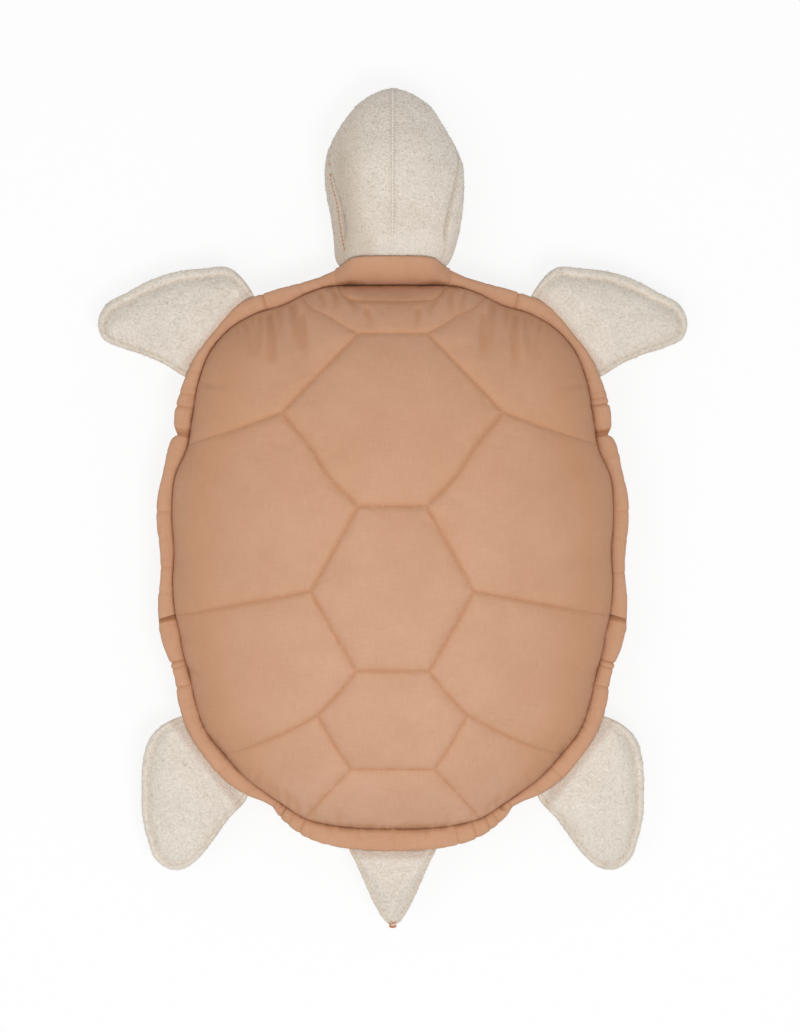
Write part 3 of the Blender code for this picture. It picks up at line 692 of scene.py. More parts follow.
def gathered(points):
    """How far the gathers draw the cloth in: valleys with a small ridge on either side."""
    depth = np.zeros(len(points))
    right_shift = np.array((2.0, -2.5)) * mm
    for x0, y0, x1, y1, deep, wide in gathers:
        for side, strength in ((1, 1.0), (-1, 0.85)):
            start, end = np.array([(-side * x0, y0), (-side * x1, y1)]) * mm
            if side == -1:
                end = end + right_shift
            bend = smooth_curve([start, (start + end) / 2 + (side * 0.9 * mm, 0.0), end], 2 * mm)
            far, along = line_distance(points, bend)
            t = along / lengths(bend)[-1]
            near = (far / (1.25 * wide * mm * (0.75 + 0.7 * t))) ** 2
            taper = np.clip(1 - t, 0, 1) ** 0.8 * step_up(t, -0.05, 0.08)
            depth += 3.1 * deep * mm * strength * (1 - 0.8 * near) * np.exp(-near) * taper
    return depth


def crease_shade(points):
    """Painted shade in the stitched crease: uneven, deepest beside the collar and at the rear."""
    x, y = np.abs(points[:, 0]) / mm, points[:, 1] / mm
    base = 0.085 + 0.14 * bell(y, 159, 5) + 0.46 * bell(y, -228, 6)
    for strength, across, across_reach, along, along_reach in crease_marks:
        base += strength * bell(x, across, across_reach) * bell(y, along, along_reach)
    base *= 1 - 0.9 * bell(x, 86, 10) * bell(y, -206, 8)
    uneven = 1 + 1.5 * wobble(points[:, :2], 8 * mm, 11) + 1.9 * wobble(points[:, :2], 2.4 * mm, 12)
    return np.clip(base * uneven, 0.04, 0.88)


# Shell: a net over the plan, and at each point its height and its painted shade
plan, tris = triangulate(crease, seams + [tuck], fine, 0.55 * fine, 0.9 * mm)
seam_far = nearest(plan, seams)
tuck_far = line_distance(plan, tuck)[0]
edge_far, edge_along = line_distance(plan, closed(crease))
on_edge = edge_far < 1e-6
drawn = gathered(plan)


def shell_heights():
    """The quilted dome: puffed panels, grooves at the seams, gathers and puckers at the crease."""
    crown, foot = 78.0 * mm, 2.0 * mm
    share = np.where(on_edge, 1.0, np.minimum(reach_share(plan), 1.0))
    rise = np.maximum(0.0, 1 - share ** 2.4) ** 0.60
    fade = 1 - share ** 8
    puff = -0.9 + 3.5 * (1 - fall(np.minimum(seam_far, edge_far), 6.2 * mm))
    groove = 0.8 * fall(seam_far, 1.1 * mm)
    tuck_dent = 1.5 * fall(tuck_far, 1.3 * mm)
    soft = wobble(plan, 34 * mm, 1, 1.5) + wobble(plan, 14 * mm, 2, 0.5)
    ruffle = wobble(plan, 9 * mm, 3)
    ripple = np.cos(edge_along / (1.3 * mm) + 6 * ruffle)
    pucker = (0.5 + 0.5 * wobble(plan, 40 * mm, 4)) * ripple * fall(edge_far, 5 * mm)
    tick = np.cos((plan[:, 0] + 0.7 * plan[:, 1]) / (0.9 * mm) + 5 * ruffle)
    seam_tick = 0.22 * tick * fall(seam_far, 2.2 * mm)
    quilt = puff - groove + (soft + seam_tick) * step_up(share, 1.0, 0.8)
    near_edge = step_up(share, 1.0, 0.975)
    height = seam_z + foot + crown * rise + quilt * mm * fade
    return height + ((0.8 * pucker - tuck_dent) * mm * near_edge - drawn * near_edge)


def shell_tones():
    """Painted shade on the shell's cloth: in the grooves of seams, crease, tuck and gathers, and a little at
    its front and sides; at the seams it is partly their own darker line.
    """
    across, ahead = np.abs(plan[:, 0]), plan[:, 1]
    x, y = across / mm, ahead / mm
    # Seams: their own darker line, with painted shade in their grooves
    seam_line_and_shade = 0.055 * (1 + 1.5 * wobble(plan, 2.6 * mm, 13) + 0.9 * wobble(plan, 12 * mm, 14))
    spread = bell(x, 38, 12) * bell(y, 158, 8) + bell(x, 122, 22) * bell(y, -168, 30) + 0.7 * bell(y, -228, 7)
    tone = seam_line_and_shade * fall(seam_far, 0.9 * mm) + crease_shade(plan) * fall(edge_far, (0.8 + 1.1 * spread) * mm)
    # Broad painted shade: soft valleys beside the seams, and a darker front and sides
    front, sides = step_up(ahead, -90 * mm, 60 * mm), step_up(across, 40 * mm, 100 * mm)
    tone += 0.032 + 0.012 * fall(seam_far, 4 * mm) + 0.020 * np.maximum(front, 0.6 * sides)
    tone += 0.085 * fall(edge_far, 20 * mm) * step_up(across, 60 * mm, 130 * mm)
    return tone + 0.30 * fall(tuck_far, 0.7 * mm) + np.clip(drawn / mm, 0, 4) * 0.018


# Shell: the underside, from the crease down to the flat that rests on the floor
belly_reach = np.array((0.985, 0.965, 0.93, 0.88, 0.80, 0.73, 0.66, 0.55, 0.40, 0.25, 0.12))
belly_rise = (0.0, 0.0, 0.035, 0.09, 0.235, 0.42, 0.62, 0.80, 1.0)
belly_height = np.interp(belly_reach, (0.0, 0.66, 0.73, 0.80, 0.88, 0.93, 0.965, 0.985, 1.0), belly_rise)
belly_top = seam_z - 2.3 * mm
belly_number = 20


def belly_rings(outline, inset):
    """Rings of the underside in from an outline, or of a layer at an inset inside it."""
    rings = []
    for reach, height in zip(belly_reach, belly_height):
        ring = middle + (outline - middle) * reach * (1 - inset / (160 * mm))
        z = height * belly_top * (1 - inset / seam_z) + inset
        rings.append(np.column_stack([ring, np.full(len(ring), z)]))
    return rings


def draw_in(cloth, edges, rings, tone):
    """Extends an open border through rings of points, then closes it in the middle."""
    for ring in rings:
        made = bmesh.ops.extrude_edge_only(cloth.bm, edges=edges)["geom"]
        edges = [g for g in made if isinstance(g, bmesh.types.BMEdge)]
        for vert in made:
            if isinstance(vert, bmesh.types.BMVert):
                vert.co = ring[vert[cloth.home]]
                vert[cloth.shade] = tone
    bmesh.ops.holes_fill(cloth.bm, edges=edges, sides=0)
    bmesh.ops.poke(cloth.bm, faces=[f for f in cloth.bm.faces if len(f.verts) > 4])


def lay_flat(cloth, numbers):
    """Gives each panel's cloth its flat place, on the panel's own mean slope and apart from the next one."""
    apart = Vector((0.13, 0.29))
    groups = {}
    for face in cloth.bm.faces:
        groups.setdefault(numbers.get(face, -1), []).append(face)
    for number, held in groups.items():
        slope = Vector()
        for face in held:
            tilt = face.normal * face.calc_area()
            slope += tilt if tilt.z > 0 else -tilt
        slope.normalize()
        across = Vector((0, 1, 0)).cross(slope).normalized()
        along = slope.cross(across)
        for face in held:
            for corner in face.loops:
                at = corner.vert.co
                corner[cloth.uv].uv = Vector((at.dot(across), at.dot(along))) + apart * number


def panel_numbers(cloth, seam_points):
    """Numbers the faces by the panel that they lie on, each bounded by seams."""
    edges = [e for e in cloth.bm.edges if all(v[cloth.home] in seam_points for v in e.verts)]
    spots = np.array([((e.verts[0].co + e.verts[1].co) / 2)[:2] for e in edges])
    sewn = {edge for edge, away in zip(edges, nearest(spots, seams)) if away < on_seam}
    numbers = {}
    count = 0
    for face in cloth.bm.faces:
        if face in numbers:
            continue
        numbers[face] = count
        queue = [face]
        while queue:
            for edge in queue.pop().edges:
                if edge in sewn:
                    continue
                for other in edge.link_faces:
                    if other not in numbers:
                        numbers[other] = count
                        queue.append(other)
        count += 1
    return numbers


def shell_cover():
    """The quilted cover, drawn in under its crease and on along the belly, inside the belly's own cloth."""
    cover = Cloth(plan, tris)
    numbers = panel_numbers(cover, set(np.flatnonzero(seam_far < on_seam)))
    heights, tones = shell_heights(), shell_tones()
    for vert in cover.bm.verts:
        i = vert[cover.home]
        vert.co.z = heights[i]
        vert[cover.shade] = tones[i]
    for face in cover.bm.faces:
        face.normal_update()
    lay_flat(cover, numbers)
    edge = plan[on_edge]
    where = np.cumsum(on_edge) - 1
    for vert in cover.bm.verts:
        vert[cover.home] = int(where[vert[cover.home]])
    border = [e for e in cover.bm.edges if e.is_boundary]
    skirt = np.column_stack([middle + (edge - middle) * 0.998, np.full(len(edge), seam_z - 1.4 * mm)])
    # The cloth drawn in under the crease carries painted shade
    draw_in(cover, border, [skirt] + belly_rings(edge, 2.4 * mm), 0.6)
    return cover.finish("shell_cover", tan, "shell")


def stuff_shell(piece):
    """Swells the shell's panels between their seams; cloth gathers in most at the front and the rear."""
    held = np.ones(len(piece.data.vertices))
    give = np.zeros(len(held))
    reach = np.zeros(len(held))
    top = slice(len(plan))
    front, rear = (step_up(plan[:, 1], a * mm, b * mm) for a, b in ((60, 120), (-150, -200)))
    held[top] = (seam_far < on_seam) | (tuck_far < on_seam) | on_edge
    give[top] = fall(edge_far, 22 * mm) * np.maximum(front, 0.6 * rear)
    reach[top] = np.minimum(5.0 * mm, 0.5 * edge_far)
    stuff(piece, held, give, reach)


shell = shell_cover()
stuff_shell(shell)
shell_faces = surface_of(shell)
for number, line in enumerate(seams, 1):
    path = laid_on(shell_faces, line, 0.16 * mm)
    stitches("shell_seam_stitches_%02d" % number, path, 3.3, 2.1, 0.30, seam_thread, "shell")
# The crease's stitches rise into view where its painted shade is deepest, so their dark thread adds to that
# shade
edge_lift = 1.3 + 1.5 * np.minimum(1, crease_shade(crease) / 0.4)
path = np.column_stack([crease, seam_z + edge_lift * mm])
stitches("shell_edge_stitches", closed(path), 3.1, 2.2, 0.42, tan_thread, "shell")
panel_names = ["front", "centre_1", "centre_2", "centre_3", "rear"]
panel_names += ["%s_%d" % (hand, n) for hand, side in hands for n in (1, 2, 3, 4)]
dress(shell, "tan_cloth", 0.75, "shell_filling", *("shell_panel_" + name for name in panel_names))


# Belly cover: a thin cloth with a closing seam along the middle
def belly_cover():
    """Rings drawn in from the crease, lifted and puckered beside the closing seam, with a thin wall."""
    under = Cloth()
    bm = under.bm
    bmesh.ops.create_circle(bm, segments=len(crease), radius=1.0)
    for i, vert in enumerate(bm.verts):
        vert[under.home] = i
        vert.co = tuple(crease[i]) + (belly_top,)
        # The belly's edge at the crease carries painted shade
        vert[under.shade] = 0.5
    draw_in(under, bm.edges[:], belly_rings(crease, 0.0), 0.0)
    wide = [e for e in bm.edges if e.calc_length() > 7 * mm]
    bmesh.ops.subdivide_edges(bm, edges=wide, cuts=2, use_grid_fill=True)
    for vert in bm.verts:
        x, y, z = vert.co
        away = abs(x) / mm
        lift = 1.6 * math.exp(-away / 3.0) + 0.4 * math.cos(y / (1.4 * mm)) * math.exp(-away / 7)
        crumple = 0.5 + noise.noise(Vector((x, y, 3.0)) / (18 * mm))
        vert.co.z = z + max(0.0, lift + 0.7 * crumple * (1 if z < 25 * mm else 0)) * mm
        # A darker line along the closing seam, partly painted shade in its groove, and painted shade where
        # the belly rises under the crease
        vert[under.shade] += 0.5 * math.exp(-away / 1.0) + 0.25 * math.exp(-(seam_z - z) / (4 * mm))
    bmesh.ops.recalc_face_normals(bm, faces=bm.faces[:])
    lay_flat(under, {face: belly_number + (face.calc_center_median().x > 0) for face in bm.faces})
    piece = under.finish("belly_cover", tan, "shell")
    wall = piece.modifiers.new("cloth", "SOLIDIFY")
    wall.thickness = 1.4 * mm
    wall.offset = -1.0
    return piece


dress(belly_cover(), "belly_cloth", 0.6, "belly_panel_left", "belly_panel_right")
path = [(0.0, y * mm, 1.4 * mm) for y in np.linspace(-95, 30, 126)]
stitches("belly_closing_stitches", path, 5.0, 3.4, 0.35, tan_thread, "shell")

# Rim: padded band between the crease and its outer edge; its profile as share of the width, and height
rim_profile = (
    (-0.1, -1.4), (-0.05, 0.6), (0.01, 2.2), (0.09, 3.1), (0.24, 3.8), (0.48, 4), (0.68, 3.7), (0.82, 3),
    (0.92, 2.1), (0.98, 1), (1, -0.1), (0.98, -1.2), (0.92, -1.8), (0.7, -2.1), (0.45, -2.1),
    (0.2, -2.1), (0, -2.1), (-0.08, -1.9),
)
# Lengths of the rim on each side: outer edge, ends, and pleats by place, size, width and any shift per side
rim_lengths = (
    ("front", front_edge_rows, (0, -7.0), (
        (13, 0.6, 1.0), (28, 0.7, 1.1), (36, 0.5, 0.9), (59, 1.5, 1.0, -3), (83, 0.5, 1.2),
        (104, 0.6, 1.0), (133, 0.7, 1.0), (148, 1.2, 0.9, 3), (163, 1.5, 0.9, -2))),
    ("middle", middle_edge_rows, (3.0, 0), (
        (17, 0.6, 1.2), (38, 0.5, 1.4), (60, 0.8, 1.6), (79, 0.5, 1.2), (96, 0.8, 1.4, 4),
        (118, 0.5, 1.2))),
    ("rear", rear_edge_rows, (-4.0, -7.0), (
        (14, 0.5, 1.0), (36, 2.0, 1.0), (40.5, 1.0, 0.9), (54.5, 1.3, 1.0), (69, 0.5, 1.2),
        (88, 0.6, 1.0), (105, 0.5, 1.0), (120, 0.8, 1.2, 4), (148, 0.8, 1.0), (170, 0.9, 1.0),
        (181, 0.8, 1.0))),
)
tail_pleats = (
    (9, 1.6, 0.9), (16, 1.3, 0.9), (27, 1.2, 1), (34, 0.8, 0.9), (49, 0.8, 1), (71, 0.5, 1),
    (96, 0.7, 1), (121, 0.6, 1), (143, 0.8, 1), (157, 1.2, 1), (169, 1.4, 0.9), (176, 1, 0.9),
)


def end_form(ends, gaps):
    """How far a rim length closes and sinks at a place, and its painted shade where an end slips under, by
    its gaps to both ends.

    An end rounds off over a positive length and slips under over a negative one."""
    close = 1.0
    sink = 0.0
    tuck_shade = 0.0
    for end, away in zip(ends, gaps):
        if end > 0:
            close *= math.sqrt(max(0.03, 1 - max(0.0, 1 - away / end) ** 2))
        elif end < 0:
            sink += 2.4 * max(0.0, 1 - away / -end) ** 0.8
            tuck_shade += 0.5 * bell(away + end, 0.6, 1.8)
    return close, sink, tuck_shade


def rim_run(node_name, edge_rows, stitch_rows, side, ends, pleats, seed):
    """One length of the rim, lofted from its profile at steps along its outer edge."""
    edge = smooth_curve(np.array(mirror(edge_rows)) * mm, 1.5 * mm)
    stitch = smooth_curve(np.array(mirror(stitch_rows)) * mm, 0.8 * mm)
    along = np.maximum.accumulate(line_distance(edge, stitch)[1])
    along = np.convolve(np.pad(along, 4, mode="edge"), np.ones(9) / 9, mode="valid")
    inner = np.stack([np.interp(along, lengths(stitch), stitch[:, k]) for k in (0, 1)], axis=1)
    run = lengths(edge) / mm
    rows = []
    shades = []
    for start, rim_edge, s, painted_shade in zip(inner, edge, run, crease_shade(inner)):
        close, sink, tuck_shade = end_form(ends, (s, run[-1] - s))
        pleat = sum(size * bell(s, place, width) for place, size, width in pleats)
        bulge = sum(0.5 * size * bell(abs(s - place) / width, 2.4, 1) for place, size, width in pleats)
        wave = noise.noise(Vector((s / 24, seed * 3.3, 0.0))) * 1.3
        ripple = noise.noise(Vector((s / 6, seed * 9.1, 4.0)))
        tick = noise.noise(Vector((s / 2.1, seed * 5.7, 8.0)))
        out = (rim_edge - start) * (1 - 0.06 * min(pleat, 2.0) + 0.03 * ripple)
        # Painted shade at rounded and slipped ends, in pleats and where an end tucks under
        fold_shade = (0.45 if close < 0.5 else 0.0) + 0.35 * min(1.0, sink)
        fold_shade += 0.40 * min(1.0, pleat / 1.5) ** 2 + tuck_shade * (1 + 1.2 * tick)
        row = []
        tones = []
        for u, z in rim_profile:
            spot = start + out * u
            if z > 0:
                body = min(1.0, max(0.0, (u + 0.02) * 5)) * max(0.0, 1 - u ** 6)
                small = 1.3 * ripple * (1.1 - u) + 1.5 * tick * max(0.0, 0.9 - 1.6 * u)
                z = z * close - sink + body * close * (bulge - pleat + 0.6 * wave + small)
            z += 0.5 * wave * max(0.0, u) ** 2
            row.append((spot[0] * side, spot[1], seam_z + max(z, -2.3) * mm))
            # Along the inner side, the crease's painted shade
            tones.append(min(0.9, painted_shade * fall(max(0.0, u), 0.08) + fold_shade))
        rows.append(row)
        shades.append(tones)
    dress(loft(node_name + "_cloth", rows, shades, rim_tan, "shell"), "rim_cloth", 0.4, node_name)


for number, (hand, side) in enumerate(hands, 1):
    for place, (label, edge_rows, ends, pleats) in enumerate(rim_lengths):
        moved = [(at + sum(shift) * number, size, width) for at, size, width, *shift in pleats]
        rim_run("rim_%s_%s" % (label, hand), edge_rows, crease_rows, side, ends, moved, number + 2 * place)
rim_run("rim_tail", list(tail_edge_rows) + mirror(tail_edge_rows[:-1])[::-1],
        list(crease_rows[-9:]) + mirror(crease_rows[-9:-1])[::-1], 1, (3.5, 3.5), tail_pleats, 8)

# Collar: a band that arches from the crease up over the neck, its free edge as x, y and z
collar_edge = np.array((
    (0.0, 178.2, 69.4), (10.75, 178.2, 68.8), (21.5, 178.0, 66.8), (28.0, 177.3, 63.8), (31.5, 175.9, 60.6),
    (35.0, 173.2, 55.6), (38.0, 171.3, 50.2), (40.8, 170.2, 45.6),
))
collar_half = collar_edge[-1, 0]


def collar_row(x):
    """One row of the collar: up from its foot over the top to the free edge, and back round the neck."""
    wide = abs(x)
    foot_y = np.interp(wide, *np.array(crease_rows[:6]).T)
    edge_y, edge_z = (np.interp(wide, collar_edge[:, 0], collar_edge[:, k]) for k in (1, 2))
    foot = np.array((foot_y, 43.6))
    chord = np.array((edge_y, edge_z - 1.5)) - foot
    normal = np.array((-chord[1], chord[0])) / np.linalg.norm(chord)
    wave = noise.noise(Vector((x / 9, 2.0, 5.0)))
    ripple = noise.noise(Vector((x / 3.2, 2.0, 9.0)))
    sag = np.interp(wide, (0, 30, collar_half), (5.6, 4.6, 2.6)) + 0.7 * wave
    row = [(foot_y - 1.2, 40.2), (foot_y - 0.7, 42.2)]
    for t in np.linspace(0, 1, 16):
        row.append(tuple(foot + chord * t + normal * (sag * 4 * t * (1 - t) + 0.35 * ripple * (1 - t))))
    row.append((edge_y + 0.9, edge_z - 2.6))
    radius = 25.9 * (1 - (wide / 46.0) ** 3) ** (1 / 3)
    for t in np.linspace(0, 1, 7):
        turn = math.pi * (0.635 + 0.365 * t)
        y = neck_y / mm + radius * math.cos(turn)
        z = seam_z / mm + radius * math.sin(turn)
        row.append((min(y, edge_y - 0.3 - 1.5 * t), max(40.0, min(z, edge_z - 3.8))))
    row.append((min(max(foot_y + 1.0, neck_y / mm - radius), edge_y - 1.9), 40.0))
    # Painted shade at the collar's foot in the crease, deepest in its gathered corners
    corner = bell(wide, 31, 8.5)
    spot = corner * (1 + 0.6 * ripple)
    ends = min(0.88, 0.35 + 0.5 * spot)
    tones = [0.9, ends, ends * 0.9, 0.10 + 0.70 * spot, 0.66 * spot, 0.60 * spot, 0.42 * spot, 0.18 * spot]
    return [(x * mm, y * mm, z * mm) for y, z in row], tones + [0.0] * (len(row) - len(tones))


rows, shades = zip(*(collar_row(x) for x in np.linspace(-collar_half, collar_half, 83)))
dress(loft("collar_cloth", rows, shades, rim_tan, "shell"), "rim_cloth", 0.4, "rim_collar")

# Flippers and tail: free outlines as shares of a length, and the hem's width at each place
front_free = (
    (0.13, -0.58), (0.37, -0.65), (0.6, -0.74), (0.8, -0.785), (0.94, -0.695), (1, -0.52),
    (0.91, -0.26), (0.81, -0.02), (0.68, 0.19), (0.46, 0.425), (0.25, 0.6), (0.1, 0.603),
)
rear_free = (
    (0.15, -0.585), (0.41, -0.66), (0.65, -0.712), (0.82, -0.705), (0.94, -0.63), (1, -0.475),
    (0.93, -0.22), (0.83, -0.02), (0.66, 0.205), (0.47, 0.42), (0.29, 0.55), (0.09, 0.587),
)
tail_free = (
    (0.06, 0.556), (0.285, 0.458), (0.466, 0.382), (0.616, 0.315), (0.735, 0.256), (0.872, 0.181),
    (0.97, 0.105),
)
front_hems = (3.4, 3.4, 3.6, 4.2, 5.4, 6.6, 7.2, 7.4, 7.4, 7.2, 6.4, 4.6)
rear_hems = (3.4, 3.4, 3.6, 4.0, 4.4, 4.8, 5.0, 5.2, 5.4, 5.6, 5.4, 4.4)
flipper_length = 70
tail_length = 47.6
# Half thickness at the edge, in the hem and at its stitches, then full above and below, and the swell's reach
flipper_heights = (1.2, 3.9, 1.5, 11.2, 11.0, 8.0)
tail_heights = (1.3, 2.8, 1.9, 14.8, 10.0, 6.5)


class Limb:
    """The place of a flat limb: the seam that it turns on and its directions, on one side of the toy."""

    def __init__(self, root, degrees, out, droop, side):
        turn = math.radians(degrees)
        self.dip = math.radians(droop)
        self.side = side
        self.flat_out = np.array((math.cos(turn), math.sin(turn), 0.0))
        self.along = np.array((math.sin(turn), -math.cos(turn), 0.0))
        self.pivot = np.array((root[0] * mm, root[1] * mm, seam_z)) + self.flat_out * out * mm
        up = np.array((0.0, 0.0, 1.0))
        self.out = self.flat_out * math.cos(self.dip) - up * math.sin(self.dip)
        self.up = self.flat_out * math.sin(self.dip) + up * math.cos(self.dip)

    def place(self, p, flat=False):
        out = self.flat_out if flat else self.out
        spot = self.pivot + out * p[0] + self.along * p[1] + self.up * p[2]
        return (float(spot[0]) * self.side, float(spot[1]), float(spot[2]))

    def beyond_root(self, spots):
        """Which places on a limb are clear of its root seam."""
        return (spots * (self.side, 1, 1) - self.pivot) @ self.out > 5 * mm


def hem_widths(border, marks, widths):
    """Gives the hem's width at any length along a border, from its width at marks."""
    run = line_distance(marks, closed(border))[1]
    order = np.argsort(run)
    whole = lengths(closed(border))[-1]
    return lambda along: np.interp(along, run[order], widths[order], period=whole)


def limb_levels(points, hem, far, along, limb, heights, seed, ridge):
    """The heights of a limb's upper and lower cover at plan points, padded inside the hem."""
    edge_h, flange_h, groove_h, full_top, full_low, spread = heights
    x, y = points[:, 0], points[:, 1]
    t = np.clip(far / hem, 0, 1)
    flange = edge_h + (flange_h - edge_h) * np.sin(np.pi * np.minimum(t * 0.75, 0.5))
    flange -= (flange_h - groove_h) * step_up(t, 0.72, 1.0)
    swell = 1 - fall(np.maximum(far - hem, 0), spread * mm)
    soft = wobble(points, 16 * mm, seed, 0.8) + wobble(points, 6 * mm, seed + 1, 0.3)
    ripple = np.cos(along / (1.2 * mm) + 6 * wobble(points, 12 * mm, seed + 2))
    pucker = 0.35 * ripple * fall(far - hem, 2.5 * mm)
    curled = wobble(points, 1.7 * mm, seed + 5, 0.3)
    inward = step_up(x, -7.5 * mm, 0.5 * mm)
    cap = 5.0 + np.maximum(x / mm - 0.5, 0) * 0.36
    drop = np.maximum(-x, 0) * math.tan(limb.dip)
    levels = []
    for full, tongue, sign in ((full_top, -2.7, 1), (full_low, -5.2, -1)):
        h = np.where(far < hem, flange, groove_h + (full - groove_h) * swell + soft * swell + pucker * 0.8)
        h = np.minimum(h, cap)
        if ridge and sign > 0:
            h -= 0.8 * fall(np.abs(y) - 1.3 * mm, 0.8 * mm) * step_up(far, 0, 6 * mm)
        levels.append((tongue + (sign * h - tongue) * inward + curled) * mm - drop)
    return levels[0], np.minimum(levels[1], levels[0] - 1.2 * mm)


def hem_line(border, hem_at):
    """The line of the hem's stitches, from one side of the root round to the other."""
    across = sideways(np.roll(border, -1, axis=0) - np.roll(border, 1, axis=0))
    if inside(border + across * mm, border).mean() < 0.5:
        across = -across
    sewn = border + across * hem_at(lengths(closed(border))[:-1])[:, None]
    sewn = sewn[sewn[:, 0] > 1.0 * mm]
    first = int(np.argmax(np.linalg.norm(sewn - np.roll(sewn, 1, axis=0), axis=1)))
    return np.roll(sewn, -first, axis=0)


def flat_limb(body, limb, free, hems, root_half, root_hem, heights, seed, nodes, ridge=False):
    """A stuffed limb of two covers, sewn all round and let into the rim at its root."""
    tongue = [(-9, root_half), (-15, root_half - 4), (-15, 0), (-15, 4 - root_half), (-9, -root_half)]
    marks = np.array(tongue + list(free)) * mm
    border = smooth_curve(marks, 1.6 * mm, loop=True)
    hem_at = hem_widths(border, marks, np.array((root_hem,) * len(tongue) + tuple(hems)) * mm)
    points, triangles = triangulate(border, [], 1.9 * mm, 1.0 * mm)
    far, along = line_distance(points, closed(border))
    hem = hem_at(along)
    top, bottom = limb_levels(points, hem, far, along, limb, heights, seed, ridge)
    # Painted shade in the hem's groove and along the sewn edge
    tone = 0.30 * fall(far - hem, 0.6 * mm) + 0.22 * fall(far, 0.6 * mm)

    cloth = Cloth(points, triangles)
    both = cloth.bm.faces[:] + cloth.bm.edges[:]
    made = bmesh.ops.extrude_face_region(cloth.bm, geom=both, use_keep_orig=True)["geom"]
    upper = {g for g in made if isinstance(g, bmesh.types.BMVert)}
    for vert in cloth.bm.verts:
        i = vert[cloth.home]
        vert.co = limb.place((*points[i], (top if vert in upper else bottom)[i]))
        vert[cloth.shade] = tone[i]
    piece = cloth.finish(body + "_cover", cream)

    home = point_numbers(piece)
    loose = (far > hem + 0.6 * mm) & (points[:, 0] > 3 * mm)
    give = fall(far - hem, 6 * mm) * loose
    reach = np.minimum(2.5 * mm, 0.5 * np.maximum(far - hem, 0))
    stuff(piece, 1.0 - loose[home], give[home], reach[home])
    faces = surface_of(piece)
    rounding = piece.modifiers.new("rounding", "SUBSURF")
    rounding.levels = 1
    rounding.render_levels = 1
    bend = {"start": limb.place((-5.5 * mm, 0, 0), flat=True), "end": limb.place((9.0 * mm, 0, 0), flat=True)}
    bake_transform(piece)
    dress(piece, "cream_cloth", 0.6, *nodes)
    path = laid_on(faces, [limb.place((*p, 0.0)) for p in hem_line(border, hem_at)], 0.15 * mm)
    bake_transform(stitches(body + "_topstitch", path, 3.6, 2.6, 0.28, cream_thread))
    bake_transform(pile(body + "_pile", piece, seed, limb.beyond_root))


for place, share, degrees, free, hems in (
    ("front", (-0.730, 0.7375), 140.0, front_free, front_hems),
    ("rear", (-0.758, -0.686), 218.2, rear_free, rear_hems),
):
    root = (share[0] * half_wide, middle_y + share[1] * half_long)
    outline = [(a * flipper_length, b * flipper_length) for a, b in free]
    for seed, (hand, side) in enumerate(hands, 3):
        name = "flipper_%s_%s" % (place, hand)
        nodes = [name + part for part in ("_upper", "_lower", "_batting")]
        limb = Limb(root, degrees, 9.0, 10.0, side)
        flat_limb(name, limb, outline, hems, 37.3, 3.6, flipper_heights, seed, nodes)
tail_nodes = ("tail_upper_left", "tail_upper_right", "tail_under", "tail_filling")
tail_half = [(a * tail_length, -b * tail_length) for a, b in tail_free]
tail_outline = tail_half + [(49.2, 0.0)] + [(a, -b) for a, b in reversed(tail_half)]
flat_limb("tail", Limb((0.0, -244.0), -90.0, 5.3, 8.0, 1), tail_outline, (3.0,) * len(tail_outline),
          31.5, 3.0, tail_heights, 7, tail_nodes, True)

# Head: its rings by distance, half width, height over and under the seam, the seam's degrees, and lean
head_rows = (
    (-24.4, 1, 0.6, 0.6, 34, 0), (-21.6, 28, 12.6, 12.6, 34, 0), (-13.8, 40, 20.9, 20.9, 33, 0.2),
    (0, 43.8, 25, 25, 34.5, 1.9), (8, 45, 27, 26.5, 36, 2.7), (20, 47, 33, 30, 35, 2.6),
    (35, 48.9, 38.5, 33.3, 31.5, 1.9), (51, 49.4, 41.2, 34.2, 23, 1.1), (60, 47.9, 40.7, 34, 15, 0.4),
    (69, 44.6, 38.6, 31.8, 8, 0), (77, 40.4, 35.4, 28.9, 5, 0), (84.7, 35.8, 31.4, 25.4, 2, 0),
    (91.5, 31.2, 27.3, 21.6, 1, 0), (97.7, 26.4, 22.4, 17.4, 0, 0), (102.3, 20.6, 18, 13.6, 0, 0),
    (106, 14.6, 13.4, 9.9, 0, 0), (109, 7.8, 7, 5.2, 0, 0), (110.8, 0.6, 0.5, 0.4, 0, 0),
)
rust_marks = ((-44.4, 238.0), (-43.2, 230.0), (-39.6, 217.0), (-37.4, 201.5), (-35.8, 191.7), (-34.0, 183.0))
upper_rust_marks = ((-42.6, 262.0), (-44.2, 252.0), (-44.5, 243.0))
stations = smooth_curve(np.array(head_rows), 1.5)
turns = np.linspace(0, 2 * math.pi, 132, endpoint=False)


def head_fade(far):
    """How much of the head's swelling shows at a distance from the neck: none at its two ends."""
    return min(1.0, max(0.0, (112 - far) / 14)) * min(1.0, max(0.0, (far + 2) / 10))


def head_spot(station, turn, up, grow):
    """The place on a ring of the head at a turn, moved out from the middle by a factor."""
    far, wide, lean = station[0], station[1], station[5]
    x = wide * math.cos(turn) * grow + lean * abs(math.cos(turn))
    return (x * mm, neck_y + far * mm, seam_z + up * math.sin(turn) * grow * mm)


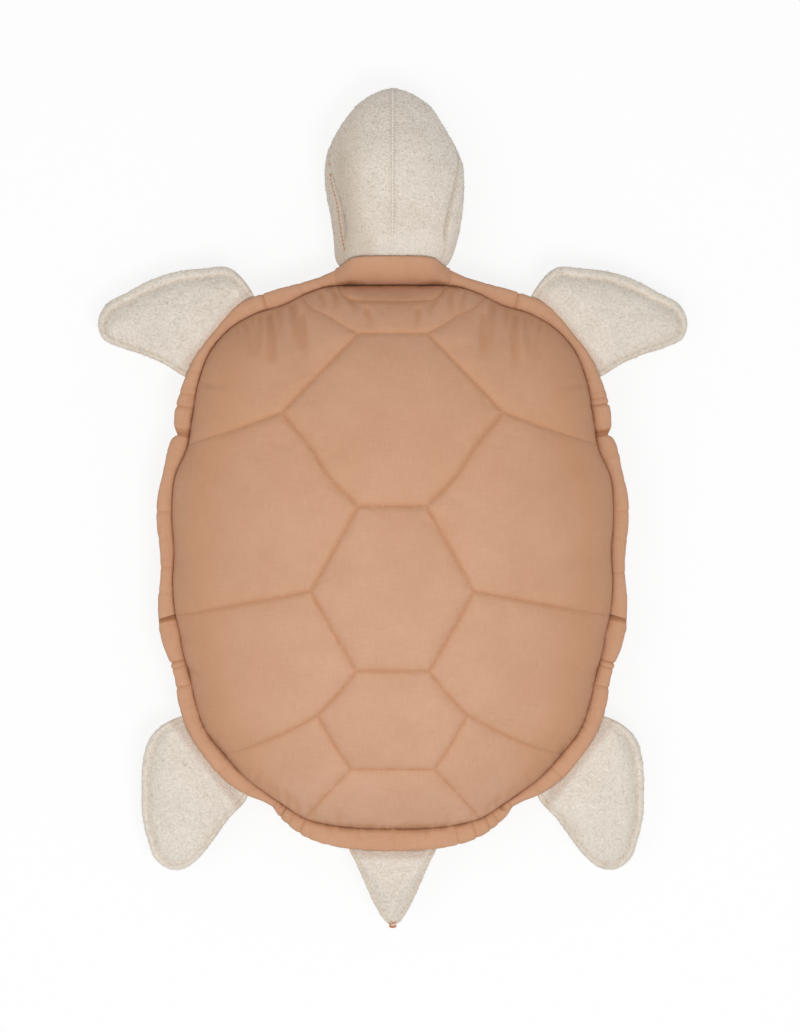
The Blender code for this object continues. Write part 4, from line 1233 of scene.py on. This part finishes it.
def head_ring(station):
    """One ring of the head: its points, their painted shade and how loose the cloth is."""
    far, wide, tall, low, seam_degrees, lean = station
    tilt = math.radians(seam_degrees)
    fade = head_fade(far)
    sunk = min(1.0, max(0.0, seam_degrees - 6) / 26)
    row = []
    tones = []
    loose = []
    for a in turns:
        up = tall if math.sin(a) >= 0 else low
        size = math.hypot(wide * math.cos(a), up * math.sin(a))
        top_gap, left_gap, right_gap = (abs((a - mark + math.pi) % (2 * math.pi) - math.pi) * size
                                        for mark in (math.pi / 2, math.pi - tilt, tilt))
        side_gap = min(left_gap, right_gap)
        dent = (1.7 * fall(side_gap, 2.4) + 0.6 * fall(side_gap, 0.8)) * (0.10 + 0.90 * sunk * sunk)
        dent += 0.45 * fall(top_gap - 1.6, 1.0)
        spot = Vector((wide * math.cos(a), far, up * math.sin(a)))
        swell = 0.9 * noise.noise(spot / 26) + 0.4 * noise.noise(spot / 9) + 0.35 * noise.noise(spot / 1.7)
        row.append(head_spot(station, a, up, 1 + fade * (swell - dent) / max(size, 4.0)))
        # Painted shade in the grooves of the side and top seams, and over the head's left side
        tone = 0.03 + 0.40 * fall(side_gap, 1.0) + 0.04 * fall(top_gap - 1.6, 0.6)
        tone += 0.15 * bell(spot.x, -50, 21)
        # Painted shade in a band beside the rust stitches, and lower down near the neck
        shade_beside_rust = 0.27 * bell(spot.x, -36, 7) * step_up(far, 80, 52)
        shade_beside_rust += 0.13 * bell(spot.x, -28, 14) * step_up(far, 12, -4)
        tones.append((0.4 + 0.6 * fade) * tone + shade_beside_rust * step_up(math.sin(a), -0.1, 0.2))
        loose.append(0.0 if fade < 0.9 or side_gap < 1.5 or top_gap < 2.4 else min(1.0, side_gap / 6))
    return row, tones, loose


def head_seam(label, start, end):
    """A seam of the head between two distances from the neck."""
    path = []
    for station in stations:
        far, tall, tilt = station[0], station[2], math.radians(station[4])
        if start < far < end:
            if label == "centre":
                sink = 0.6 * min(1.0, max(0.0, 1 - far / 6))
                grow = 1 + head_fade(far) * 0.15 / tall - sink / tall
            else:
                grow = 1 - head_fade(far) / tall
            turn = math.pi / 2 if label == "centre" else tilt
            path.append(head_spot(station, turn, tall, grow))
    return path


rows, shades, slack = zip(*(head_ring(station) for station in stations))
head = loft("head_cover", rows, shades, cream, "head")
home = point_numbers(head)
ring = len(turns) + 1
loose = np.array(slack)[home // ring, home % ring % len(turns)]
stuff(head, 1.0 - (loose > 0), 0.3 * (loose > 0) * (1 - loose), 2.0 * mm * loose)
dress(head, "cream_cloth", 0.8, "head_upper_left", "head_upper_right", "head_chin", "head_filling")
stitches("head_centre_stitches", head_seam("centre", -6, 109), 2.4, 3.1, 1.1, cream_thread, "head")
head_faces = surface_of(head)
for label, marks, pitch, thick in (("", rust_marks, 3.0, 0.55), ("_upper", upper_rust_marks, 6.5, 0.36)):
    path = laid_on(head_faces, smooth_curve(marks, 0.8) * mm, 0.1 * mm)
    stitches("head_side_stitches" + label, path, pitch, 2.5, thick, rust_thread, "head")
stitches("head_side_stitches_right", head_seam("right", -6, 62), 3.3, 2.4, 0.34, cream_thread, "head")
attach(pile("head_pile", head, 21, lambda spots: spots[:, 1] > neck_y + 6 * mm), "head")

# Knot at the tail's tip, and the stitches that draw the tip together
tip_stitches = ((-3.4, -295.4, 1.2, -296.6), (-1.8, -294.2, 3.0, -296.2), (-2.6, -297.0, 2.8, -295.0))
tail_faces = surface_of(bpy.data.objects["tail_cover"])
for number, (x0, y0, x1, y1) in enumerate(tip_stitches, 1):
    path = laid_on(tail_faces, np.linspace((x0, y0), (x1, y1), 7) * mm, 0.1 * mm)
    if len(path) > 2:
        stitches("tail_tip_stitch_%d" % number, path, 2.3, 2.2, 0.40, rust_thread, "tail")
knot = bpy.data.objects["tail_knot"].data
knot.materials.clear()
knot.materials.append(rust_thread)


# Floor, backdrop, lights and camera
def seen_share(tree, share):
    """A share for the rays that show a backdrop: the camera's, and those through gloss or glass."""
    path = node(tree, "LightPath").outputs
    seen = math_node(tree, "MAXIMUM", path["Is Glossy Ray"], path["Is Transmission Ray"])
    return math_node(tree, "MULTIPLY", math_node(tree, "MAXIMUM", path["Is Camera Ray"], seen), share)


def show_instead(tree, share, plain, shown, target):
    """Mixes two shaders, the shown one for the rays that show a backdrop, and hands them to a surface."""
    mixed = node(tree, "MixShader", {0: seen_share(tree, share), 1: plain.outputs[0], 2: shown.outputs[0]})
    tree.links.new(mixed.outputs[0], tree.nodes[target].inputs["Surface"])


floor_half = 6.0
bm = bmesh.new()
bmesh.ops.create_grid(bm, x_segments=1, y_segments=1, size=floor_half)
bmesh.ops.translate(bm, vec=(0, 0, -0.2 * mm), verts=bm.verts[:])
pale, tree, shader = new_material("pale floor", {"Base Color": (0.95, 0.95, 0.95, 1.0), "Roughness": 0.9})
show_instead(tree, 0.84, shader, node(tree, "Emission", {"Strength": 1.0}), "Material Output")
new_piece("floor", bm, pale)

world = bpy.data.worlds.new("studio")
bpy.context.scene.world = world
world.use_nodes = True
tree = world.node_tree
air = tree.nodes["Background"]
air.inputs["Color"].default_value = (1.0, 1.0, 1.0, 1.0)
air.inputs["Strength"].default_value = 0.53
backdrop = node(tree, "Background", {"Color": (0.92, 0.92, 0.92, 1.0), "Strength": 1.0})
show_instead(tree, 1.0, air, backdrop, "World Output")


def soft_light(name, place, size, power):
    """A round lamp that points at the toy."""
    data = bpy.data.lights.new(name, "AREA")
    data.shape = "DISK"
    data.size = size
    data.energy = power
    made = bpy.data.objects.new(name, data)
    made.location = place
    made.rotation_euler = (-Vector(place)).to_track_quat("-Z", "Y").to_euler()
    bpy.context.scene.collection.objects.link(made)


soft_light("key", (0.32, -0.46, 2.0), 0.7, 14.9)
soft_light("fill", (-0.8, -0.3, 1.9), 1.4, 8.1)

view_distance = 3.5
view_tall = 0.7357
camera_data = bpy.data.cameras.new("camera")
camera_data.sensor_width = 36.0
camera_data.lens = camera_data.sensor_width * view_distance / view_tall
camera_data.clip_end = 50.0
camera = bpy.data.objects.new("camera", camera_data)
camera.location = (5.2 * mm, -5.2 * mm, view_distance + seam_z)
bpy.context.scene.collection.objects.link(camera)
bpy.context.scene.camera = camera
bpy.context.scene.view_settings.view_transform = "Standard"

bpy.context.view_layer.update()
